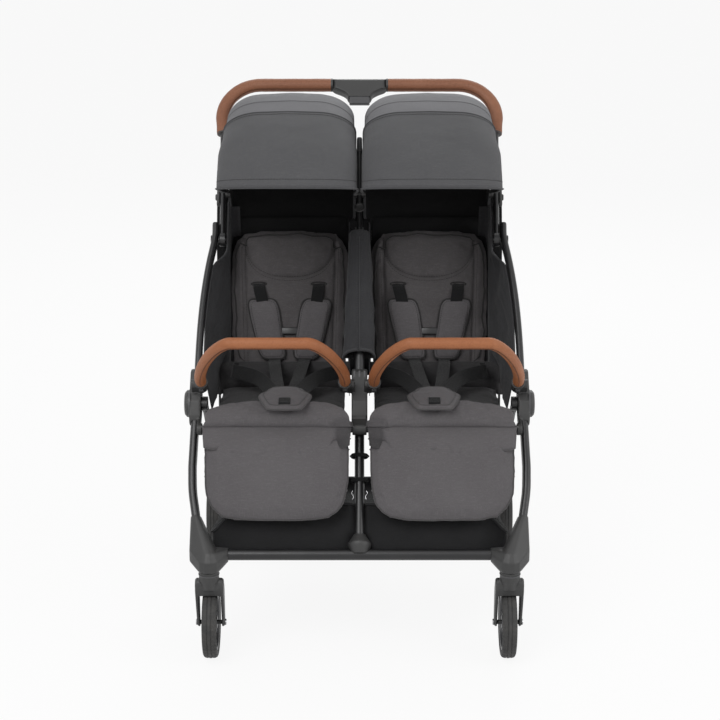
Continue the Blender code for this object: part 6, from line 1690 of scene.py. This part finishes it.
# Bumper bars: a bent steel core wrapped in foam and brown leather, sewn along its underside.
# Each end stands on a plastic socket with a spring release button.
def build_leather_effect():
    """Leather: pebbled cells, fine creases, painted shade that darkens the hollows and a worn top.
    """
    group, given, made = new_group(
        "pebbled_leather",
        [("Colour", "NodeSocketColor", None), ("Hollow Shade Colour", "NodeSocketColor", None),
         ("Worn Colour", "NodeSocketColor", None), ("Pebbles", "NodeSocketFloat", 520.0),
         ("Wear", "NodeSocketFloat", 0.35)],
        [("Colour", "NodeSocketColor"), ("Roughness", "NodeSocketFloat"),
         ("Height", "NodeSocketFloat")])
    where = group.nodes.new("ShaderNodeTexCoord").outputs["Object"]
    cells = group.nodes.new("ShaderNodeTexVoronoi")
    group.links.new(where, cells.inputs["Vector"])
    group.links.new(given.outputs["Pebbles"], cells.inputs["Scale"])
    cells.inputs["Randomness"].default_value = 1.0
    hollow = maths(group, "MULTIPLY_ADD", cells.outputs["Distance"], 1.3, -0.1, clamp=True)
    crease = noise_at(group, where, 60.0, 6.0, 0.65)
    broad = noise_at(group, where, 11.0, 4.0, 0.6)
    # Painted shade: the colour darkens towards the shade colour in the pebbles' hollows.
    dark = maths(group, "MULTIPLY", hollow, 0.42)
    tone = mixed(group, dark, given.outputs["Colour"], given.outputs["Hollow Shade Colour"])
    worn = maths(group, "MULTIPLY_ADD", broad, 2.6, -1.1, clamp=True)
    worn = maths(group, "MULTIPLY", maths(group, "MULTIPLY", worn, given.outputs["Wear"]),
                 maths(group, "MULTIPLY_ADD", crease, 1.2, 0.1, clamp=True))
    colour = mixed(group, worn, tone, given.outputs["Worn Colour"])
    height = maths(group, "ADD", maths(group, "MULTIPLY", hollow, -0.8),
                   maths(group, "MULTIPLY", crease, 0.9))
    group.links.new(colour, made.inputs["Colour"])
    group.links.new(maths(group, "MULTIPLY_ADD", hollow, 0.22, 0.44), made.inputs["Roughness"])
    group.links.new(height, made.inputs["Height"])
    return group


leather_effect = build_leather_effect()


def leather(name, colour, deep, worn):
    # The second colour, deep, is the painted shade in the pebbles' hollows.
    material, shader = surfaced(
        name, leather_effect, {"Colour": colour, "Hollow Shade Colour": deep, "Worn Colour": worn}, 0.55)
    shader.inputs["Specular IOR Level"].default_value = 0.4
    return material


# The second colour of each leather is its painted shade in the pebble hollows.
bar_leather = leather("bar_leather", (166, 104, 66), (104, 56, 30), (192, 132, 92))
leather_thread = woven("leather_thread", (96, 60, 42), (140, 98, 74), 2400.0, 0.5, 0.1, 0.1)
BUMPER_DIR, BUMPER_NORMAL = direction(140.0), direction(50.0)
BUMPER_SOCKET, SOCKET_LONG = Vector((0.0, -0.122, 0.5125)), 0.0300
BUMPER_INNER_X, BUMPER_OUTER_X, BUMPER_R = 0.0300, 0.3265, 0.0118


def bumper_line(side):
    middle = side * (BUMPER_OUTER_X + BUMPER_INNER_X) / 2.0
    half = (BUMPER_OUTER_X - BUMPER_INNER_X) / 2.0
    base = BUMPER_SOCKET + BUMPER_DIR * (SOCKET_LONG + 0.0003)
    flat = [(half, 0.0), (half, 0.010)]
    for i in range(25):
        angle = math.radians(90.0 * i / 24.0)
        a = half - 0.0707 * (1.0 - math.cos(angle) ** (2.0 / 1.5))
        flat.append((a, 0.0200 + 0.1850 * math.sin(angle) ** (2.0 / 1.5)))
    flat += [(-a, d) for a, d in flat[::-1]]
    line = [across(middle + a, base + BUMPER_DIR * d) for a, d in flat]
    return [Vector(p) for p in resample([tuple(p) for p in line], 120)]


for side_name, side in SIDES.items():
    line = bumper_line(side)
    count = len(line) - 1

    def plump(i, count=count):
        """The wrap is full along the bar and drawn in at its two ends."""
        end = min(i, count - i)
        bumps = 1.0 + 0.006 * math.sin(i * 1.7) + 0.008 * math.sin(i * 0.43 + 1.0)
        return (0.93 if end == 0 else 0.985 if end == 1 else 1.0) * bumps

    shape = bmesh.new()
    run_along(shape, line, oval(BUMPER_R, BUMPER_R, 2.0, 36), BUMPER_NORMAL, plump)
    bar = finished("bumper_bar_leather_" + side_name, shape, bar_leather, 50.0)
    body = "bumper_" + side_name
    place(bar, body, "bumper_bar_" + side_name, slot="brown_leather")
    wrap = surface_of(bar)
    shape = bmesh.new()
    path = [wrap.find_nearest(p - BUMPER_NORMAL * BUMPER_R)[:2] for p in line[2:-2]]
    cord_on(shape, path, 0.0007, 0.0001)
    stitches_on(shape, [(hit + BUMPER_DIR * 0.0028, normal) for hit, normal in path], 0.0032,
                0.0020, 0.0005)
    place(finished("bumper_bar_seam_" + side_name, shape, leather_thread), body,
          slot="brown_leather")
    shape = bmesh.new()
    for x in (side * BUMPER_OUTER_X, side * BUMPER_INNER_X):
        base = across(x, BUMPER_SOCKET)
        turn_round(shape, [(SOCKET_LONG - 0.0058, 0.0136), (SOCKET_LONG - 0.0052, 0.0141),
                           (SOCKET_LONG - 0.0012, 0.0141), (SOCKET_LONG - 0.0002, 0.0130)],
                   base, BUMPER_DIR, 40)
    place(finished("bumper_socket_rims_" + side_name, shape, black_moulding), "frame",
          slot="black_plastic")
for side_name, place_name in (("left", "outer"), ("left", "inner"), ("right", "inner"),
                              ("right", "outer")):
    tag = side_name + "_" + place_name
    place(moulded("bumper_button_" + tag, "release_button_" + tag, grey_moulding, 0.0005, 3),
          "button_" + tag, "bumper_button_" + tag, slot="grey_plastic")


# Pushing handle: two painted arms, leather-wrapped bends and a moulded middle housing that
# holds the fold trigger. Small brackets on the arms carry the canopies' pivots.
ARM_UP = Vector((0.0, -ARM_DIR.z, ARM_DIR.y))
ARM_KNEE_X, HANDLE_X, GRIP_CURVE, GRIP_R, HEAD_HALF = 0.2950, 0.3040, 0.085, 0.0145, 0.0595
GRIP_FROM = 0.2600
CANOPY_PIVOT = 0.112
CANOPY_PIN = KNEE + ARM_DIR * CANOPY_PIVOT
grip_leather = leather("grip_leather", (148, 98, 72), (86, 50, 34), (176, 126, 98))


def arm_x(distance):
    return ARM_KNEE_X + (HANDLE_X - ARM_KNEE_X) * distance / ARM_LONG


arm_section = oval(0.0062, 0.0115, 2.6)
for side_name, side in SIDES.items():
    shape = bmesh.new()
    run_along(shape, [across(side * arm_x(d), on_arm(d)) for d in (0.004, 0.13, 0.2594)],
              arm_section, X_AXIS)
    turn_round(shape, [(-0.0062, 0.0058), (-0.0062, 0.0140), (-0.0052, 0.0150), (0.0052, 0.0150),
                       (0.0062, 0.0140), (0.0062, 0.0058)], across(side * ARM_KNEE_X, KNEE),
               X_AXIS, 44, ring=True)
    place(finished("handle_arm_tube_" + side_name, shape, satin_black), "handle",
          "handle_arm_" + side_name, slot="black_tube")
    shape = bmesh.new()
    turn_round(shape, [(0.2813, 0.0060), (0.2813, 0.0086), (0.2820, 0.0090), (0.2920, 0.0090)],
               CANOPY_PIN, X_AXIS * side, 36)
    clip = [across(side * (arm_x(0.1) + 0.0062 + 0.0032), on_arm(d)) for d in (0.0850, 0.1160)]
    run_along(shape, clip, oval(0.0036, 0.0095, 4.0, 32), X_AXIS)
    turn_round(shape, [(0.0, 0.0070), (0.0030, 0.0070), (0.0042, 0.0056)],
               across(side * (arm_x(0.1) + 0.0120), on_arm(0.1030)), X_AXIS * side, 30)
    place(finished("canopy_pivot_bracket_" + side_name, shape, black_moulding), "handle",
          slot="black_plastic")
    corner = ARM_LONG - GRIP_CURVE
    spots = [(arm_x(GRIP_FROM), GRIP_FROM), (arm_x(GRIP_FROM + 0.02), GRIP_FROM + 0.02)]
    spots += [(HANDLE_X - GRIP_CURVE + GRIP_CURVE * math.cos(a), corner + GRIP_CURVE * math.sin(a))
              for a in [math.radians(90.0 * i / 20.0) for i in range(21)]]
    spots.append((HEAD_HALF + 0.0003, ARM_LONG))
    line = [across(side * x, on_arm(d)) for x, d in spots]
    line = [Vector(p) for p in resample([tuple(p) for p in line], 100)]
    count = len(line) - 1

    def wrap_size(i, count=count):
        """The wrap is drawn in at its lower end and meets the housing at the other."""
        bumps = 1.0 + 0.005 * math.sin(i * 1.3) + 0.007 * math.sin(i * 0.37)
        return (0.90 if i == 0 else 0.97 if i == 1 else 1.0 if i < count else 0.99) * bumps

    shape = bmesh.new()
    run_along(shape, line, oval(GRIP_R, GRIP_R, 2.0, 40), ARM_UP, wrap_size)
    grip = finished("handle_grip_leather_" + side_name, shape, grip_leather, 50.0)
    place(grip, "handle", "handle_grip_" + side_name, slot="brown_leather")
    wrap = surface_of(grip)
    shape = bmesh.new()
    inward = []
    for i, p in enumerate(line[2:-1]):
        step = (line[min(i + 3, count)] - line[i + 1]).normalized()
        inner = step.cross(ARM_UP).normalized()
        if inner.dot(across(0.0, on_arm(ARM_LONG * 0.6)) - p) < 0.0:
            inner = -inner
        inward.append(wrap.find_nearest(p + (inner * 0.9 + ARM_UP * 0.35) * GRIP_R)[:2])
    cord_on(shape, inward, 0.0008, 0.0001)
    for off in (-0.0030, 0.0030):
        stitches_on(shape, [(hit + ARM_UP * off, normal) for hit, normal in inward], 0.0034,
                    0.0022, 0.0005)
    place(finished("handle_grip_seam_" + side_name, shape, leather_thread), "handle",
          slot="brown_leather")
    shape = bmesh.new()
    turn_round(shape, [(-0.0010, 0.0128), (0.0000, 0.0146), (0.0030, 0.0149), (0.0042, 0.0146)],
               across(side * (HEAD_HALF + 0.0002), GRIP), X_AXIS * side, 40)
    turn_round(shape, [(0.0, 0.0118), (0.0010, 0.0138), (0.0050, 0.0142), (0.0060, 0.0140)],
               across(side * arm_x(GRIP_FROM), on_arm(GRIP_FROM - 0.0006)), ARM_DIR, 40)
    place(finished("handle_grip_collars_" + side_name, shape, black_moulding), "handle",
          slot="black_plastic")
place(moulded("handle_housing", "handle_middle_housing", black_moulding, 0.0011, 7), "handle",
      "handle_housing", slot="black_plastic")
place(moulded("fold_trigger", "fold_trigger_moulding", grey_moulding, 0.0008, 6), "fold_trigger",
      "fold_trigger", slot="grey_plastic")


# Middle post between the canopies: a slim squared tube that folds with the handle. It ends free
# under a grey cap; a turned boss on it carries both canopies' inner pivots.
shape = bmesh.new()
run_along(shape, [on_arm(0.006), on_arm(0.216)], oval(0.0058, 0.0070, 3.4, 36), X_AXIS)
turn_round(shape, [(-0.0058, 0.0058), (-0.0058, 0.0104), (-0.0050, 0.0110), (0.0050, 0.0110),
                   (0.0058, 0.0104), (0.0058, 0.0058)], KNEE, X_AXIS, 36, ring=True)
place(finished("middle_post_tube", shape, satin_black), "upright", "centre_post",
      slot="black_tube")
shape = bmesh.new()
run_along(shape, [on_arm(0.2140), on_arm(0.2470), on_arm(0.2500)],
          oval(0.0061, 0.0073, 3.0, 36), X_AXIS, lambda i: (1.0, 1.0, 0.86)[i])
place(finished("middle_post_cap", shape, grey_moulding), "upright", slot="grey_plastic")
shape = bmesh.new()
turn_round(shape, [(-0.0137, 0.0078), (-0.0130, 0.0088), (0.0130, 0.0088), (0.0137, 0.0078)],
           CANOPY_PIN, X_AXIS, 36)
turn_round(shape, [(0.0060, 0.0112), (0.0098, 0.0112), (0.0106, 0.0104), (0.0108, 0.0070),
                   (0.0100, 0.0060)], on_arm(0.0740), ARM_UP, 40)
for x in (-0.0078, 0.0, 0.0078):
    run_along(shape, [across(x, on_arm(0.0100)) + ARM_UP * 0.0116,
                      across(x, on_arm(0.0240)) + ARM_UP * 0.0108], oval(0.0018, 0.0010, 3.0, 14),
              X_AXIS)
place(finished("middle_post_boss", shape, black_moulding), "upright", slot="black_plastic")


# Canopies: grey marl cloth over two bows, lined in black. A lighter rear shell comes forward to
# the crown seam; the front panel over its edge swings on the same pivots. Hems are bound. One
# black panel behind and a flap at each side close the gap to the backrests.
CANOPY_INNER, CANOPY_OUTER = 0.0080, 0.2870
CANOPY_HEM, CANOPY_SEAM, CANOPY_BACK, CANOPY_TAIL = 164.8, 119.0, 52.0, -59.4
CANOPY_NEST, CANOPY_R, CANOPY_HEM_R, CANOPY_SLOPE = 0.0032, 0.220, 0.300, 0.2637
CANOPY_COLUMNS, CANOPY_CORNER_SEAMS = 77, (14, 62)
REAR_PANEL_FROM, REAR_PANEL_SPAN, REAR_PANEL_HALF = -57.0, 77.0, 0.2865
SIDE_FLAP_INNER_X, SIDE_FLAP_WIDE = 0.2872, 0.0248
SIDE_FLAP_SPINE = ((0.172, 0.700), (0.180, 0.745), (0.203, 0.800), (0.236, 0.862))
canopy_marl = woven("canopy_marl_cloth", (83, 83, 85), (115, 115, 117), 900.0, 0.36, 0.14, 0.12)
canopy_band = woven("canopy_band_cloth", (108, 108, 111), (140, 140, 142), 900.0, 0.36, 0.14, 0.12)
canopy_lining = woven("canopy_lining", (17, 17, 18), (30, 30, 31), 1100.0, 0.3, 0.15, 0.05)
canopy_tape = woven("canopy_tape", (70, 70, 72), (104, 104, 106), 1500.0, 0.4, 0.15, 0.12)


def canopy_radius(degrees):
    """The cloth's distance from the pivot: straight down the back, round, then out to the hem."""
    if degrees < CANOPY_BACK:
        angle, back = math.radians(degrees), math.radians(CANOPY_BACK)
        chord = CANOPY_R * (math.cos(back) - CANOPY_SLOPE * math.sin(back))
        return chord / (math.cos(angle) - CANOPY_SLOPE * math.sin(angle))
    if degrees < 90.0:
        return CANOPY_R
    share = (degrees - 90.0) / (CANOPY_HEM - 90.0)
    return CANOPY_R + (CANOPY_HEM_R - CANOPY_R) * share ** 2.47


def canopy_row(degrees, nest, columns):
    """Points (x, radius, side share) across the cloth at one angle, outer pivot to inner."""
    inner, outer = CANOPY_INNER + nest, CANOPY_OUTER - nest
    radius = canopy_radius(degrees) - nest
    corner_r, corner_x = min(0.055, radius * 0.45), 0.085
    half = [(outer, 0.0098), (outer, radius - corner_r)]
    for k in range(1, 17):
        angle = math.radians(90.0 * k / 16.0)
        half.append((outer - corner_x + corner_x * math.cos(angle),
                     radius - corner_r + corner_r * math.sin(angle)))
    row = half + [((inner + outer) / 2.0, radius + 0.002)]
    row += [(inner + outer - x, r) for x, r in half[::-1]]
    row = resample([(x, r, 0.0) for x, r in row], columns)
    middle = (inner + outer) / 2.0
    turn = eased((degrees - 128.0) / 18.0)
    made = []
    for x, r, _ in row:
        s = (x - middle) / (outer - middle)
        reach = 0.0068 if s > 0.0 else 0.0034
        made.append((x + reach * s * turn * eased((r - 0.050) / 0.060), r, s))
    return made


def canopy_sheet(name, side, first, last, rows, nest, materials, seed):
    grid = []
    for i in range(rows + 1):
        share = i / rows
        degrees = first + (last - first) * share
        ray = direction(degrees)
        line = []
        for x, r, s in canopy_row(degrees, nest, CANOPY_COLUMNS):
            top = eased((r / canopy_radius(degrees) - 0.55) / 0.35)
            taut = 0.0016 * math.sin(math.pi * share) * (1.0 - s * s) * top
            fold = noise.fractal(Vector((x * 9.0 * side, degrees * 0.05, seed)), 0.8, 2.0, 3)
            drop = 0.0022 * fold * math.sin(math.pi * share) ** 0.5 * top
            line.append(across(side * x, CANOPY_PIN + ray * (r - taut + min(drop, 0.0006))))
        grid.append(line if side > 0.0 else line[::-1])
    return cloth_grid(name, grid, 0.0018, materials, -1.0), grid


for side_name, side in SIDES.items():
    front, front_grid = canopy_sheet("canopy_panel_" + side_name, side, CANOPY_SEAM, CANOPY_HEM,
                                     40, 0.0, [canopy_marl, canopy_lining], 1.0 + side)
    rear, rear_grid = canopy_sheet("canopy_shell_" + side_name, side, CANOPY_TAIL,
                                   CANOPY_SEAM + 5.0, 92, CANOPY_NEST,
                                   [canopy_band, canopy_lining], 5.0 + side)
    front_body = "canopy_" + side_name
    place(front, front_body, "canopy_front_" + side_name, slot="canopy_cloth")
    place(rear, "handle", "canopy_rear_" + side_name, slot="canopy_cloth")
    for part, grid, body, at_edge, at_seam in (("panel", front_grid, front_body, -1, 0),
                                               ("shell", rear_grid, "handle", 0, None)):
        shape = bmesh.new()
        run_along(shape, grid[at_edge], oval(0.0015, 0.0030, 2.6, 12), ARM_UP)
        if at_seam is not None:
            run_along(shape, grid[at_seam], oval(0.0016, 0.0016, 2.0, 10), ARM_UP)
        binding = finished("canopy_%s_binding_%s" % (part, side_name), shape, canopy_tape)
        place(binding, body, slot="canopy_cloth")
        shape = bmesh.new()
        for row in (-4, 2) if part == "panel" else (3, 82):
            line = grid[row][6:-6]
            outward = []
            for point in line:
                off = (point - across(point.x, CANOPY_PIN)).normalized()
                outward.append((point + off * 0.0004, off))
            stitches_on(shape, outward, 0.0036, 0.0022, 0.0006)
        sewn = finished("canopy_%s_stitches_%s" % (part, side_name), shape, stitch_grey)
        place(sewn, body, slot="canopy_cloth")
        shape = bmesh.new()
        for column in CANOPY_CORNER_SEAMS:
            line = [row[column] for row in grid]
            run_along(shape, line, oval(0.0013, 0.0013, 2.0, 8), X_AXIS)
        corner = finished("canopy_%s_corner_seams_%s" % (part, side_name), shape, canopy_tape)
        place(corner, body, slot="canopy_cloth")
        for piece in (binding, sewn, corner):
            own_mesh(piece)
    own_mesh(front)
    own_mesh(rear)


grid = []
for i in range(41):
    degrees = REAR_PANEL_FROM + REAR_PANEL_SPAN * i / 40.0
    spot = CANOPY_PIN + direction(degrees) * (canopy_radius(degrees) + 0.0050)
    half = REAR_PANEL_HALF + 0.0215 * eased((-8.0 - degrees) / 18.0)
    line = []
    for k in range(97):
        x = half * (k / 48.0 - 1.0)
        fold = 0.0014 * noise.fractal(Vector((x * 10.0, degrees * 0.04, 12.0)), 0.8, 2.0, 3)
        line.append(across(x, spot + direction(-15.0) * fold))
    grid.append(line[::-1])
panel = cloth_grid("canopy_rear_panel", grid, 0.0014, [lining_cloth])
place(panel, "handle", slot="dark_cloth")
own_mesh(panel)
for side_name, side in SIDES.items():
    spine = smooth_line([(0.0, y, z) for y, z in SIDE_FLAP_SPINE], 6)
    grid = []
    for i, spot in enumerate(spine):
        line = []
        for k in range(13):
            x = SIDE_FLAP_INNER_X + SIDE_FLAP_WIDE * k / 12.0
            fold = 0.0020 * noise.fractal(Vector((x * 30.0, i * 0.3, 14.0 + side)), 0.8, 2.0, 3)
            line.append(across(side * x, spot + Vector((0.0, fold, 0.0))))
        grid.append(line if side > 0.0 else line[::-1])
    flap = cloth_grid("canopy_side_flap_" + side_name, grid, 0.0014, [lining_cloth])
    place(flap, "handle", slot="dark_cloth")
    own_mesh(flap)
